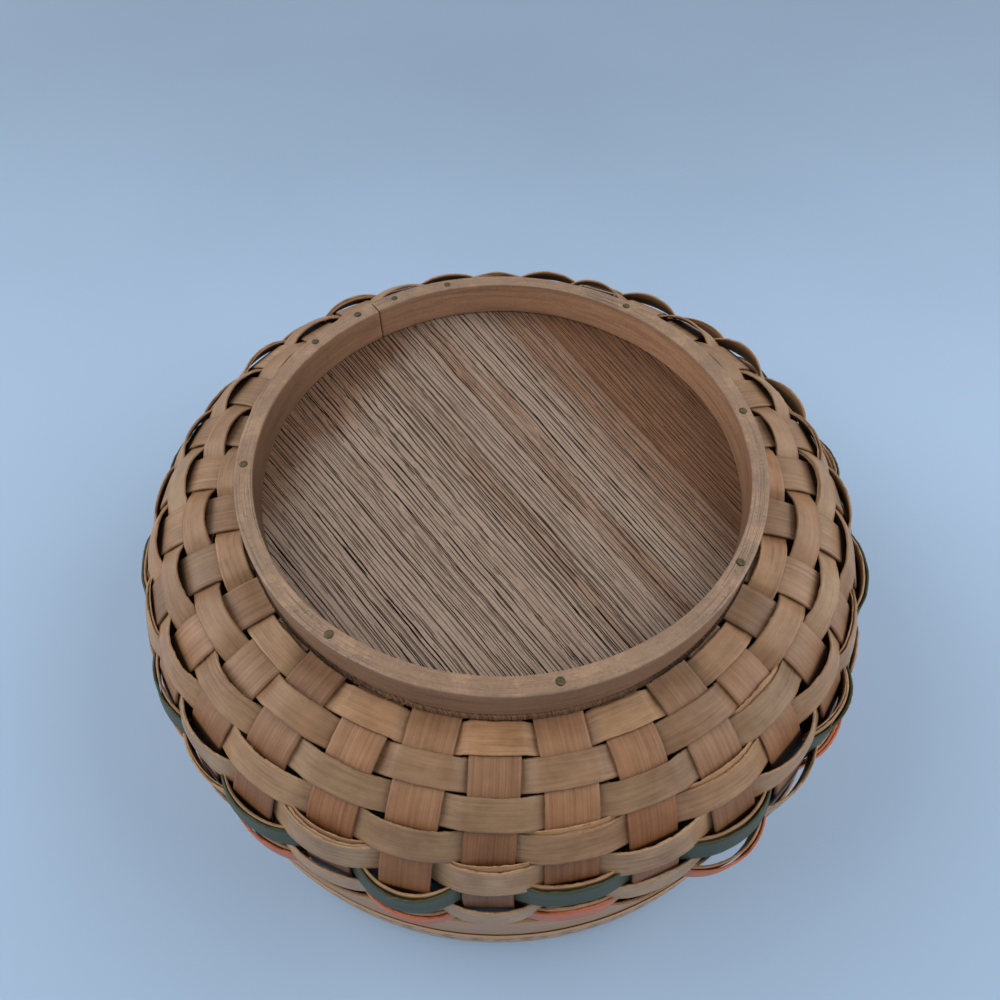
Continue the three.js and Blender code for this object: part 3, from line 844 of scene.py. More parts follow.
# Over stretches given one by one, by row and spoke: bulge, tilt and droop in mm
LOOSE_STRETCHES = {
    (6, 25): (0.5, 0.3, 0.2), (8, 25): (0.3, 0.1, 0.0), (6, 27): (0.6, 0.3, 0.2),
    (8, 27): (0.3, 0.1, 0.0), (6, 31): (3.5, 0.3, 2.4), (8, 31): (1.6, -0.2, 1.2),
    (6, 1): (0.8, 0.5, -1.6), (8, 1): (0.0, -0.2, -4.2), (6, 29): (2.2, 0.6, 0.8),
    (8, 29): (1.4, -0.2, 0.3), (7, 0): (2.2, -0.3, 2.3), (7, 30): (1.6, -0.1, 0.5),
    (7, 2): (1.0, -0.4, -0.3), (5, 0): (1.1, 0.2, 0.0), (5, 30): (1.4, 0.6, 0.6),
    (5, 2): (1.2, 0.3, 0.3), (8, 3): (4.6, 0.2, 0.4), (6, 3): (2.0, 0.3, 0.3),
    (8, 5): (1.0, 0.6, 0.3), (7, 4): (2.6, 0.6, 0.3), (5, 12): (2.8, 1.9, 0.3),
    (4, 11): (3.3, 2.2, -0.6), (4, 13): (2.4, 1.8, 0.3), (3, 12): (2.0, 1.6, 0.2),
    (6, 11): (2.6, 1.0, 0.2), (5, 10): (2.7, 2.0, -0.2), (3, 14): (3.2, 2.2, -0.6),
}
# Spokes that a loose stretch lets out, by spoke and row, in mm
PUSHED_SPOKES = {(31, 6): 2.4, (29, 6): 1.2, (3, 6): 1.0, (0, 7): 0.4}
# Stretches whose upper edge has split, by row and spoke: how far the sliver stands up, in mm
SPLIT_STRETCHES = {
    (5, 0): 1.6, (4, 1): 1.2, (5, 30): 1.0, (4, 3): 1.4, (6, 5): 1.3, (5, 6): 1.1, (4, 9): 1.2,
    (5, 12): 1.4, (3, 4): 0.9, (6, 15): 1.2, (5, 18): 1.0, (4, 21): 1.3, (6, 23): 1.1, (5, 26): 1.5,
    (7, 28): 1.2, (7, 8): 1.4,
}


class Weave:
    """What every row shares: where it passes over or inside a spoke, its laps and its loose stretches."""

    def __init__(self, scene):
        self.sizes = scene.basket_weave
        self.wall = Wall(scene.basket_wall, scene.basket_weave, scene.basket_base)
        self.step = TURN / self.sizes.spoke_count
        rng = np.random.default_rng(41)
        rows, spokes = self.sizes.row_count + 1, self.sizes.spoke_count
        bulge, tilt, droop, round_off, fray = np.array(LOOSE_SIZES).T
        around = np.degrees(self.sizes.first_spoke + np.arange(spokes) * self.step + math.pi) % 360 - 180
        turned, *shares = zip(*LOOSE_SIDES)
        near_base, lower, leans = (np.interp(around, turned, share) for share in shares)
        low_row = smoothstep((np.arange(rows)[:, None] - 3) / 2)
        side = near_base * (1 - low_row) + lower * low_row
        vary = rng.uniform(0.7, 1.3, (rows, spokes)) * side
        self.bulge = bulge[:, None] * vary * MM
        self.tilt = self.bulge * tilt[:, None] * leans * rng.uniform(0.85, 1.05, (rows, spokes))
        slack = rng.uniform(0.2, 1.5, (rows, spokes)) * leans * np.clip(side, 0, 1)
        self.droop = (droop[:, None] * slack + rng.normal(0, 0.1, (rows, spokes))) * MM
        self.apart = bulge[:, None] * rng.uniform(0.0, 0.35, (rows, spokes)) * MM
        self.round_off = round_off[:, None] * (0.15 + 0.85 * np.clip(side * 1.2, 0, 1))
        self.fray = fray
        for stretch, amounts in LOOSE_STRETCHES.items():
            for values, amount in zip((self.bulge, self.tilt, self.droop), amounts):
                values[stretch] = amount * MM

    def drop(self, row, angle):
        """How far below its even place a row lies, for an array of angles."""
        ends, sides = ROW_DROPS[row]
        return (ends + (sides - ends) * smoothstep(np.abs(np.cos(angle)) * 2 - 1)) * MM

    def shift(self, place, distance):
        """How far sideways the spokes stand, for arrays of places counted in spokes and of distances."""
        count = self.sizes.spoke_count
        upper, lower = np.array(SPOKE_SHIFTS + SPOKE_SHIFTS[:1]).T * MM
        place = np.mod(place, count)
        past = distance - self.wall.rows_start
        share = smoothstep((past - 12 * MM) / (42 * MM))
        level = np.interp(place, np.arange(count + 1), upper) * (1 - share)
        level = level + np.interp(place, np.arange(count + 1), lower) * share
        return level * smoothstep((past + 14 * MM) / (14 * MM))

    def is_over(self, row, spoke):
        """Whether a row passes outside a spoke."""
        return (row + spoke) % 2 == 1

    def lap_spoke(self, row, shift):
        """The spoke at which a row starts, always one that the row passes inside."""
        count = self.sizes.spoke_count
        spoke = (self.sizes.first_lap + row * self.sizes.lap_step + shift) % count
        return (spoke + 1) % count if self.is_over(row, spoke) else spoke

    def laps_at(self, start, spoke):
        """How many layers a splint has at a spoke: two where its end laps over its start."""
        return 2 if (spoke - start) % self.sizes.spoke_count <= self.sizes.lap_spokes else 1

    def layer_offset(self, over, layer, layers):
        """Distance of a splint's middle from the spoke's middle, outward above zero."""
        s = self.sizes
        first = s.spoke_thickness / 2 + s.spoke_clearance + s.weaver_thickness / 2
        step = s.weaver_thickness + s.layer_clearance
        return first + layer * step if over else -first - (layers - 1 - layer) * step

    def round_trip(self, row, start, layer_at):
        """A splint's sections: angles, distances along it, offsets outward and how loose it is at each."""
        s = self.sizes
        radius = np.interp(self.wall.row_middle(row), self.wall.distance, self.wall.radius)
        half = s.spoke_width / 2 / (radius * self.step)
        last = s.spoke_count + s.lap_spokes
        visits = np.arange(last + 1)
        spokes = (start + visits) % s.spoke_count
        over = np.array([self.is_over(row, k) for k in spokes])
        offset = np.array([layer_at(k, o, v >= s.spoke_count) for k, o, v in zip(spokes, over, visits)])
        count = int((last + 2 * half) * radius * self.step / s.step)
        place = np.linspace(-half, last + half, count)
        before = np.clip(np.floor(place).astype(int), 0, last - 1)
        part = place - before
        is_out = over[before]
        from_over = np.where(is_out, part, 1 - part)
        over_spoke = np.where(is_out, spokes[before], spokes[before + 1])
        high = np.where(is_out, offset[before], offset[before + 1])
        low = np.where(is_out, offset[before + 1], offset[before])
        reach = 1 - half
        crossed = np.clip((from_over - half) / (1 - 2 * half), 0, 1)
        tight = high + (low - high) * (0.5 - 0.5 * np.cos(math.pi * crossed))
        arch = np.clip(1 - (from_over / reach) ** 2, 0, 1)
        needed = (s.spoke_clearance + (high - low) * (half / reach) ** 2) / (1 - (half / reach) ** 2)
        rounded = self.round_off[row][over_spoke]
        bulge = np.maximum(self.bulge[row][over_spoke], needed * rounded)
        rise = high + bulge - low
        inside = np.clip((from_over - reach) / half, 0, 1)
        dip = rise * half / reach * (1 - (1 - inside) ** 2)
        arched = low + rise * arch - dip
        out = tight * (1 - rounded) + arched * rounded
        loose = {name: getattr(self, name)[row][over_spoke] * arch for name in ("tilt", "droop", "apart")}
        angle = s.first_spoke + (start + place) * self.step
        loose["drop"] = self.drop(row, angle)
        angle = angle + self.shift(start + place, self.wall.row_middle(row)) / radius
        # Share of painted shade on the inner face, greatest over the middle of an over stretch
        outside = smoothstep((reach - from_over) / (0.3 * reach))
        loose["hidden"] = arch * outside
        return angle, place * radius * self.step, out, loose


def tone_along(rng, along, level):
    """How light a splint is along its length, about 1."""
    slow = wander(rng, along, 90 * MM, 0.045) + wander(rng, along, 24 * MM, 0.045)
    return np.clip(level + slow, 0.7, 1.2)


def weave_splint(weave, row, name, material, start, layer_at, width, drop, stand_off):
    """One round of a splint, from its start to its lapped end."""
    rng = np.random.default_rng([row, len(name), 7])
    angle, along, out, loose = weave.round_trip(row, start, layer_at)
    distance = weave.wall.row_middle(row) + loose["droop"] + loose["drop"] + drop
    distance = distance + wander(rng, along, 70 * MM, 0.18 * MM)
    centre, down, outward = weave.wall.place(distance, angle, out + loose["apart"] * stand_off)
    down, outward = lean(down, outward, loose["tilt"] / (width / 2))
    run = Run(centre, down, outward, along)
    base = width / 2 + wander(rng, along, 80 * MM, 0.14 * MM)
    halves = [base + wander(rng, along, 30 * MM, 0.08 * MM) for _ in ("upper", "lower")]
    curl = loose["tilt"] * 0.12 + wander(rng, along, 25 * MM, 0.05 * MM)
    level, red, row_front_shade = ROW_TONES[row]
    front = 0.5 - 0.5 * np.sin(angle)
    # Painted shade: each row is darker in front by its share in ROW_TONES
    light = tone_along(rng, along, level + rng.normal(0, 0.02)) * (1 - row_front_shade * front ** 4)
    warmth = red + wander(rng, along, 60 * MM, 0.15)
    fray = weave.fray[row]
    splint(
        name, material, [name], run, halves, weave.sizes.weaver_thickness, curl, rng,
        (0.5 + 1.4 * fray, 0.6), (fray, fray * 0.3), (light, warmth),
        # Painted shade on the inner face of over stretches, deeper in front
        1 - (0.8 - 0.45 * (1 - front) ** 4) * loose["hidden"],
    )
    loose_edges.append((centre - down * halves[0][:, None], outward, down))
    for (split_row, spoke), height in SPLIT_STRETCHES.items():
        if split_row == row and stand_off == 0:
            sliver(weave, row, spoke, height * MM, angle, run, halves[0], material)


def sliver(weave, row, spoke, height, angle, run, half, material):
    """A thin layer that has split off behind a weaver's upper edge and stands a little above it."""
    s = weave.sizes
    reach = 0.72 * weave.step
    turned = (angle - s.first_spoke - spoke * weave.step + math.pi) % TURN - math.pi
    near = np.nonzero(np.abs(turned) < reach)[0]
    near = near[near < near[0] + int(1.6 * weave.step * weave.wall.radius.max() / s.step)]
    centre, down, outward, along = (values[near] for values in run)
    rng = np.random.default_rng([row, spoke])
    share = turned[near] / reach
    raised = height * (1 - share ** 2) * (1 + wander(rng, along, 12 * MM, 0.25))
    strip = np.full(len(near), 1.3 * MM)
    behind = -(s.weaver_thickness * 0.5 + 0.25 * MM) - 0.15 * MM * (1 - share ** 2)
    centre = centre + down * (strip * 0.8 - half[near] - raised)[:, None] + outward * behind[:, None]
    flat = np.zeros(len(near))
    splint(
        f"sliver_{row:02d}_{spoke + 1:02d}", material, (), Run(centre, down, outward, along),
        [strip, strip], 0.4 * MM, flat, rng, (1.0, 0.5), (0.9, 0.2), (flat + 1.04, flat),
    )


def roll_up(name, radii, top, thickness, lap_angle, material):
    """A flat strip bent to a circle, its end lapped over its start and both shaved thin there."""
    lap = 34 * MM
    piece = add(
        bpy.ops.mesh.primitive_grid_add, name, x_subdivisions=BAND_STEPS, y_subdivisions=BAND_ROWS, size=1,
        location=(0, 0, 0),
    )
    piece.data.name = name
    flat = read_points(piece.data)[0]
    share, up = flat[:, 0] + 0.5, flat[:, 1] + 0.5
    along = share * (TURN * radii[0])
    sweep = TURN + lap / radii[0]
    shaved = 1 - smoothstep(np.minimum(share, 1 - share) * sweep * radii[0] / lap)
    side = np.where(share < 0.5, -1, 1)
    rng = np.random.default_rng(sum(map(ord, name)))
    radius = radii[0] + (radii[1] - radii[0]) * up + side * shaved * thickness * 0.3
    radius = radius + wander(rng, along, 120 * MM, 0.12 * MM)
    height = np.maximum(top * up + wander(rng, along, 60 * MM, 0.15 * MM) * (up > 0.5), 0)
    rim_sway = bpy.context.scene.basket_wall.rim_sway
    move_points(piece.data, radius, lap_angle + share * sweep, height, rim_sway)
    store(
        piece.data, grain=np.stack([along, up * top, np.zeros(len(up))], -1),
        tone=1 + wander(rng, along, 90 * MM, 0.03), edge=smoothstep((np.abs(up - 0.5) - 0.47) / 0.03),
    )
    weight = piece.vertex_groups.new(name="thickness")
    for vertex, thin in enumerate(shaved):
        weight.add([vertex], 1 - 0.75 * thin, "REPLACE")
    apply_modifier(
        piece, "SOLIDIFY", thickness=thickness, offset=0, vertex_group=weight.name, use_even_offset=True
    )
    round_edges(piece, 0.3 * MM, 2)
    dress(piece, material, [name])


class BASKET_OT_stage(bpy.types.Operator):
    """Floor, lights and the camera of the photograph"""

    bl_idname = "basket.stage"
    bl_label = "Stage"

    def execute(self, context):
        scene = context.scene
        floor = add(bpy.ops.mesh.primitive_plane_add, "floor", size=FLOOR_WIDTH, location=(0, 0, 0))
        floor.data.materials.append(floor_finish(scene.basket_finishes))
        for name, (place, power) in LAMPS.items():
            self.lamp(scene, name, place, power)
        scene.world = self.sky()
        scene.view_settings.view_transform = "Standard"
        self.camera(scene)
        return {"FINISHED"}

    def sky(self):
        """A pale sky, brightest low down."""
        world = bpy.data.worlds.new("pale sky")
        world.use_nodes = True
        nodes, links = world.node_tree.nodes, world.node_tree.links
        place = nodes.new("ShaderNodeTexCoord")
        split = nodes.new("ShaderNodeSeparateXYZ")
        ramp = nodes.new("ShaderNodeValToRGB")
        background = nodes["Background"]
        background.inputs["Color"].default_value = SKY_TINT
        stops = ramp.color_ramp.elements
        for height, level in SKY_LEVELS.items():
            stop = stops.new(height) if 0 < height < 1 else stops[int(height)]
            stop.color = (level, level, level, 1)
        links.new(place.outputs["Generated"], split.inputs[0])
        links.new(split.outputs["Z"], ramp.inputs[0])
        links.new(ramp.outputs["Color"], background.inputs["Strength"])
        return world

    def lamp(self, scene, name, place, power):
        """A soft round lamp that points at the basket."""
        data = bpy.data.lights.new(name, "AREA")
        data.shape = "DISK"
        data.size = LAMP_WIDTH
        data.energy = power
        data.color = LAMP_TINT
        lamp = bpy.data.objects.new(name, data)
        lamp.location = place
        lamp.rotation_euler = (Vector(LAMP_AIM) - Vector(place)).to_track_quat("-Z", "Y").to_euler()
        scene.collection.objects.link(lamp)

    def camera(self, scene):
        """The camera, with its place, pitch and roll."""
        data = bpy.data.cameras.new("camera")
        data.lens = CAMERA_LENS
        data.sensor_width = SENSOR_WIDTH
        camera = bpy.data.objects.new("camera", data)
        pitch, roll = CAMERA_PITCH, CAMERA_ROLL
        ahead = Vector((0, math.cos(pitch), -math.sin(pitch)))
        right = Vector((math.cos(roll), math.sin(roll) * math.sin(pitch), math.sin(roll) * math.cos(pitch)))
        turned = Matrix((right, right.cross(ahead), -ahead)).transposed().to_4x4()
        camera.matrix_world = Matrix.Translation(CAMERA_PLACE) @ turned
        scene.collection.objects.link(camera)
        scene.camera = camera


class BASKET_OT_hoop(bpy.types.Operator):
    """Foot hoop: a solid strip bent to a circle and butted at one seam"""

    bl_idname = "basket.hoop"
    bl_label = "Foot hoop"

    def execute(self, context):
        s = context.scene.basket_base
        middle = s.hoop_radius - s.hoop_wall / 2
        gap = s.seam_gap / middle
        hoop = add(
            bpy.ops.mesh.primitive_grid_add, "foot_hoop", x_subdivisions=6, y_subdivisions=10, size=1,
            location=(middle, 0, (s.hoop_top + s.hoop_bottom) / 2), rotation=(math.pi / 2, 0, 0),
        )
        bpy.ops.object.mode_set(mode="EDIT")
        bpy.ops.transform.resize(value=(s.hoop_wall, 1, s.hoop_top - s.hoop_bottom))
        bpy.ops.object.mode_set(mode="OBJECT")
        bpy.ops.object.transform_apply(location=True, rotation=True, scale=True)
        bpy.ops.object.mode_set(mode="EDIT")
        bpy.ops.mesh.select_all(action="SELECT")
        bpy.ops.mesh.spin(steps=HOOP_STEPS, angle=TURN - gap, center=(0, 0, 0), axis=(0, 0, 1))
        bpy.ops.mesh.select_all(action="SELECT")
        bpy.ops.mesh.remove_doubles(threshold=1e-6)
        bpy.ops.mesh.normals_make_consistent(inside=False)
        bpy.ops.object.mode_set(mode="OBJECT")
        round_edges(hoop, 0.5 * MM, 3)
        self.shape(hoop.data, s, gap)
        dress(hoop, hoop_finish(context.scene.basket_finishes), ["base_hoop"])
        return {"FINISHED"}

    def shape(self, mesh, s, gap):
        """Turns the seam to its place, gives the bent wood its small unevenness and paints light and shade on
        its walls.
        """
        points, radius, angle = read_points(mesh)
        angle = np.mod(angle + 1e-5, TURN)
        inner = s.hoop_radius - s.hoop_wall
        through = (radius - inner) / s.hoop_wall
        rng = np.random.default_rng(5)
        inner_wave = wander(rng, angle, 0.42, 0.30 * MM) * (1 - through)
        outer_wave = wander(rng, angle, 0.5, 0.14 * MM) * through
        step = (smoothstep(angle / 0.5) - 1) * 0.45 * MM * (1 - through)
        top = (points[:, 2] - s.hoop_bottom) / (s.hoop_top - s.hoop_bottom)
        height = points[:, 2] + wander(rng, angle, 0.6, 0.1 * MM) * top - 0.15 * MM * top
        radius = radius + inner_wave + outer_wave + step
        turned = angle + s.seam + gap / 2
        move_points(mesh, radius, turned, height)
        wall = smoothstep((0.96 - top) / 0.1)
        # Painted light and shade: the inner wall is lighter towards HOOP_LIT and darker away from it, the
        # outer wall a little darker
        lit = 0.5 + 0.5 * np.cos(turned - HOOP_LIT)
        tone = 1 + wall * np.where(through < 0.5, 1.35 * lit ** 2 - 0.7, -0.03)
        store(
            mesh, grain=np.stack([angle * s.hoop_radius, radius - inner, height], -1),
            tone=tone + wander(rng, angle, 0.25, 0.02), edge=smoothstep((top - 0.9) / 0.1),
        )
        mesh.update()


class BASKET_OT_panel(bpy.types.Operator):
    """Base panel of open-grained plywood, with a torn edge that shows under the hoop"""

    bl_idname = "basket.panel"
    bl_label = "Base panel"

    def execute(self, context):
        s = context.scene.basket_base
        panel = add(
            bpy.ops.mesh.primitive_cylinder_add, "plywood_base", vertices=PANEL_POINTS,
            radius=s.panel_radius, depth=s.panel_top - s.panel_bottom,
            location=(0, 0, (s.panel_top + s.panel_bottom) / 2),
        )
        bpy.ops.object.transform_apply(location=True, rotation=True, scale=True)
        bpy.ops.object.mode_set(mode="EDIT")
        bpy.ops.mesh.select_mode(type="FACE")
        bpy.ops.mesh.select_all(action="SELECT")
        select_faces(panel, lambda normal: abs(normal.z) > 0.5)
        bpy.ops.mesh.inset(thickness=2.5 * MM, depth=0)
        bpy.ops.object.mode_set(mode="OBJECT")
        for edge in panel.data.edges:
            a, b = (panel.data.vertices[i].co for i in edge.vertices)
            edge.select = abs(a.z - b.z) > 1 * MM
        bpy.ops.object.mode_set(mode="EDIT")
        bpy.ops.mesh.select_mode(type="EDGE")
        bpy.ops.mesh.subdivide(number_cuts=PANEL_CUTS)
        bpy.ops.object.mode_set(mode="OBJECT")
        self.tear(panel.data, s)
        dress(panel, panel_finish(context.scene.basket_finishes, s), ["base_panel"])
        for polygon in panel.data.polygons:
            polygon.use_smooth = abs(polygon.normal.z) < 0.9
        return {"FINISHED"}

    def tear(self, mesh, s):
        """Roughens the sawn edge into short leaning splinters."""
        points, radius, angle = read_points(mesh)
        depth = (s.panel_top - points[:, 2]) / (s.panel_top - s.panel_bottom)
        splinter = np.random.default_rng(11).normal(0, 1, PANEL_POINTS)
        column = np.mod(np.round(angle / TURN * PANEL_POINTS + depth * 5).astype(int), PANEL_POINTS)
        lean_in = np.sin(column * 1.7) * 0.3 + splinter[column] * 0.7
        on_rim = radius > s.panel_radius - 0.5 * MM
        grown = radius + on_rim * (lean_in * 0.16 * MM + np.sin(depth * math.pi) * 0.12 * MM)
        drop = on_rim * (np.abs(depth - 0.5) > 0.49) * lean_in * 0.06 * MM
        move_points(mesh, grown, angle, points[:, 2] + drop)
        store(mesh, edge=on_rim)
        mesh.update()


class BASKET_OT_brads(bpy.types.Operator):
    """Brads whose dulled heads lie flush in the hoop"""

    bl_idname = "basket.brads"
    bl_label = "Brads"

    def execute(self, context):
        s = context.scene.basket_base
        finish = brass_finish(context.scene.basket_finishes)
        names = sorted(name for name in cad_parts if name.startswith("brad_"))
        rng = np.random.default_rng(23)
        for name in names:
            self.brad(name, s.head_radius, finish, rng)
        return {"FINISHED"}

    def brad(self, name, radius, finish, rng):
        """One brad: a crowned head with a raised rim, on a thin shank that ends in a point."""
        low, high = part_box(name)
        middle, top = (low + high) / 2, high.z
        rim_width, rim_rise, crown_width, crown_sink = 0.35 * MM, 0.12 * MM, 0.5 * MM, 0.06 * MM
        shank_radius, tip, head_height, head_drop = 0.7 * MM, 1.6 * MM, 0.7 * MM, 0.3 * MM
        shank = top - head_drop - head_height / 2 - low.z
        brad = add(
            bpy.ops.mesh.primitive_cylinder_add, name + "_head", vertices=HEAD_STEPS, radius=radius,
            depth=head_height, location=(middle.x, middle.y, top - head_drop),
        )
        bpy.ops.object.transform_apply(location=True, rotation=True, scale=True)
        bpy.ops.object.mode_set(mode="EDIT")
        bpy.ops.mesh.select_mode(type="FACE")
        select_faces(brad, lambda normal: normal.z > 0.5)
        bpy.ops.mesh.inset(thickness=rim_width, depth=rim_rise)
        bpy.ops.mesh.inset(thickness=crown_width, depth=-crown_sink)
        select_faces(brad, lambda normal: normal.z < -0.5)
        bpy.ops.mesh.inset(thickness=radius - shank_radius, depth=0)
        for length in (shank - tip, tip):
            bpy.ops.mesh.extrude_region_move(TRANSFORM_OT_translate={"value": (0, 0, -length)})
        bpy.ops.mesh.merge(type="CENTER")
        bpy.ops.object.mode_set(mode="OBJECT")
        tilt = Matrix.Rotation(rng.normal(0, 0.03), 4, "X") @ Matrix.Rotation(rng.normal(0, 0.03), 4, "Y")
        head = Matrix.Translation((middle.x, middle.y, top))
        brad.data.transform(head @ tilt @ head.inverted())
        round_edges(brad, 0.08 * MM, 2)
        reach = np.array([(v.co.xy - middle.xy).length for v in brad.data.vertices])
        store(brad.data, edge=smoothstep((reach / radius - 0.72) / 0.25))
        dress(brad, finish, [name])


class BASKET_OT_clamp_ring(bpy.types.Operator):
    """Ring inside the basket that holds the spokes' ends against the panel"""

    bl_idname = "basket.clamp_ring"
    bl_label = "Clamp ring"

    def execute(self, context):
        low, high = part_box("clamp_ring")
        inner = min(v.co.xy.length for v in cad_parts["clamp_ring"].data.vertices)
        outer = high.x
        ring = add(
            bpy.ops.mesh.primitive_cylinder_add, "spoke_clamp", vertices=RING_STEPS, radius=outer,
            depth=high.z - low.z, end_fill_type="NOTHING", location=(0, 0, (high.z + low.z) / 2),
        )
        bpy.ops.object.transform_apply(location=True, rotation=True, scale=True)
        apply_modifier(ring, "SOLIDIFY", thickness=outer - inner, offset=-1)
        round_edges(ring, 0.4 * MM, 2)
        radius = read_points(ring.data)[1]
        store(ring.data, edge=np.abs(radius - (inner + outer) / 2) > 0.49 * (outer - inner))
        finish = panel_finish(context.scene.basket_finishes, context.scene.basket_base)
        dress(ring, finish, ["clamp_ring"])
        return {"FINISHED"}


class BASKET_OT_spokes(bpy.types.Operator):
    """Spokes: broad splints from under the panel down the wall to the rim"""

    bl_idname = "basket.spokes"
    bl_label = "Spokes"

    def execute(self, context):
        weave = Weave(context.scene)
        c = context.scene.basket_finishes
        finish = splint_finish("spoke_splint", c.spoke_light, c.spoke_dark, c.torn_edge, 4.0, 0.95, 1.0)
        for index in range(weave.sizes.spoke_count):
            self.spoke(weave, index, finish)
        return {"FINISHED"}

    def spoke(self, weave, index, finish):
        """One spoke: it gives way to each weaver, and leans out where a loose stretch lets it."""
        s, wall = weave.sizes, weave.wall
        rng = np.random.default_rng([index, 3])
        distance = np.linspace(0, wall.length, int(wall.length / s.step))
        turned = s.first_spoke + index * weave.step
        row = (distance - wall.rows_start) / wall.pitch + 0.5
        inside = (row > 0.5) & (row < s.row_count + 0.5)
        over_first = 1 if weave.is_over(1, index) else -1
        wave = np.cos((row - 1) * math.pi) * over_first * -s.spoke_wave
        out = wave * inside * smoothstep((row - 0.5) * 2)
        for (pushed, at_row), push in PUSHED_SPOKES.items():
            if pushed == index:
                out = out + push * MM * np.exp(-((row - at_row) / 0.8) ** 2)
        centre, down, outward = wall.place(distance, np.full(len(distance), turned), out)
        sideways = np.cross(outward, down)
        free = smoothstep((distance - wall.rows_start) / (30 * MM))
        held = 1 - smoothstep((distance - wall.length + 30 * MM) / (30 * MM))
        shift = wander(rng, distance, 55 * MM, 0.35 * MM) * free * held + weave.shift(index, distance)
        wider = wander(rng, distance, 50 * MM, 0.16 * MM) + rng.normal(0.05, 0.18) * MM
        half = s.spoke_width / 2 + wider * free - 0.05 * MM
        halves = [half, half + wander(rng, distance, 40 * MM, 0.1 * MM) * free]
        lower = smoothstep((distance - wall.rows_start - 15 * MM) / (30 * MM))
        # Painted shade: spokes in front are darker and redder, the more so lower down the wall
        painted_front_shade = (0.5 + 0.5 * math.cos(turned + math.pi / 2)) ** 4
        light = tone_along(rng, distance, 1 + rng.normal(0, 0.05)) * (1 - (0.1 + 0.26 * lower) * painted_front_shade)
        # Painted shade in the pockets under the weavers' loose edges
        light = light * self.pocket_shade(weave, index, distance)
        warmth = rng.normal(-0.5, 0.1) + (0.55 + 0.95 * lower) * painted_front_shade
        warmth = warmth + wander(rng, distance, 50 * MM, 0.08)
        curl = -0.12 * MM + wander(rng, distance, 30 * MM, 0.04 * MM)
        run = Run(centre + sideways * shift[:, None], sideways, outward, distance)
        name = f"spoke_{index + 1:02d}"
        splint(
            name + "_splint", finish, [name], run, halves, s.spoke_thickness, curl, rng,
            (0.5, 0.5), (0.12, 0.12), (light, warmth),
        )

    def pocket_shade(self, weave, index, distance):
        """Painted shade on a spoke where a weaver's loose edge leaves a pocket: 1 is unshaded."""
        unshaded = np.ones(len(distance))
        s, wall = weave.sizes, weave.wall
        angle = np.array(s.first_spoke + index * weave.step)
        half = wall.pitch / 2
        for row in range(1, s.row_count + 1):
            if weave.is_over(row, index):
                middle = wall.row_middle(row) + weave.drop(row, angle) + weave.droop[row, index]
                inside = smoothstep((half - 0.8 * MM - np.abs(distance - middle)) / (0.4 * MM))
                unshaded = unshaded * (1 - 0.85 * inside)
        return unshaded


class BASKET_OT_weavers(bpy.types.Operator):
    """Natural weavers, each over one spoke and under the next"""

    bl_idname = "basket.weavers"
    bl_label = "Weavers"

    def execute(self, context):
        weave = Weave(context.scene)
        colours = context.scene.basket_finishes
        wood = (colours.weaver_light, colours.weaver_dark, colours.torn_edge)
        natural = splint_finish("weaver_splint", *wood, 16.0, 1.0, 0.0)
        for row in range(1, weave.sizes.row_count + 1):
            self.row(weave, row, natural, row in DYED_ROWS)
            if row in DYED_ROWS:
                name = DYED_ROWS[row]
                dye = getattr(colours, f"{name}_dye")
                dyed = splint_finish(f"{name}_dyed_splint", *wood, 8.0, 1.0, 0.3, dye)
                self.dyed_row(weave, row, dyed, f"{name}_splint")
        return {"FINISHED"}

    def layers_at(self, weave, row):
        """Where the natural and the dyed splint of a row start, and what gives their layers at a spoke."""
        starts = (weave.lap_spoke(row, 0), weave.lap_spoke(row, weave.sizes.dyed_lap_shift))
        return starts, [lambda spoke, start=start: weave.laps_at(start, spoke) for start in starts]

    def row(self, weave, row, finish, has_dyed):
        """The natural splint of a row."""
        (start, _), (natural, dyed) = self.layers_at(weave, row)

        def layer_at(spoke, over, second):
            layers = natural(spoke) + (dyed(spoke) if has_dyed else 0)
            return weave.layer_offset(over, 1 if second else 0, layers)

        width = weave.wall.pitch - weave.sizes.row_gap
        name = f"weaver_row_{row:02d}"
        weave_splint(weave, row, name, finish, start, layer_at, width, 0.0, 0.0)

    def dyed_row(self, weave, row, finish, name):
        """The dyed splint that lies on a row, a little narrower than its weaver."""
        s = weave.sizes
        (_, start), (natural, dyed) = self.layers_at(weave, row)

        def layer_at(spoke, over, second):
            layers = natural(spoke) + dyed(spoke)
            return weave.layer_offset(over, natural(spoke) + (1 if second else 0), layers)

        width = weave.wall.pitch - s.row_gap - s.dyed_inset
        weave_splint(weave, row, name, finish, start, layer_at, width, s.dyed_drop, 1.0)


class BASKET_OT_rim(bpy.types.Operator):
    """Rim: a broad outer band, a narrow painted strip and a thin band inside"""

    bl_idname = "basket.rim"
    bl_label = "Rim bands"

    def execute(self, context):
        c = context.scene.basket_finishes
        vine = leaf_and_berry(c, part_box("rim_strip")[1].z)
        self.band("rim_band", 2.2 * MM, 0.6, c.band_light, c.band_dark, "band_wood")
        self.band("rim_strip", 0.5 * MM, 2.1, c.strip_light, c.band_light, "strip_wood", vine, 0.65 * MM)
        self.band("rim_liner", 2.0 * MM, 4.0, c.band_light, c.band_dark, "liner_wood")
        return {"FINISHED"}

    def band(self, node, thickness, lap_angle, light, dark, slot, vine=None, pressed=0.0):
        """One band, lapped at an angle, at the middle of its node's wall and pressed in from there."""
        points = [v.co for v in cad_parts[node].data.vertices]
        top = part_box(node)[1].z
        low = [p.xy.length for p in points if p.z < 0.1 * MM]
        high = [p.xy.length for p in points if p.z > top - 0.1 * MM]
        radii = [(min(ring) + max(ring)) / 2 - pressed for ring in (low, high)]
        finish = band_finish(f"{slot}_finish", light, dark, vine)
        roll_up(node, radii, top, thickness, lap_angle, finish)


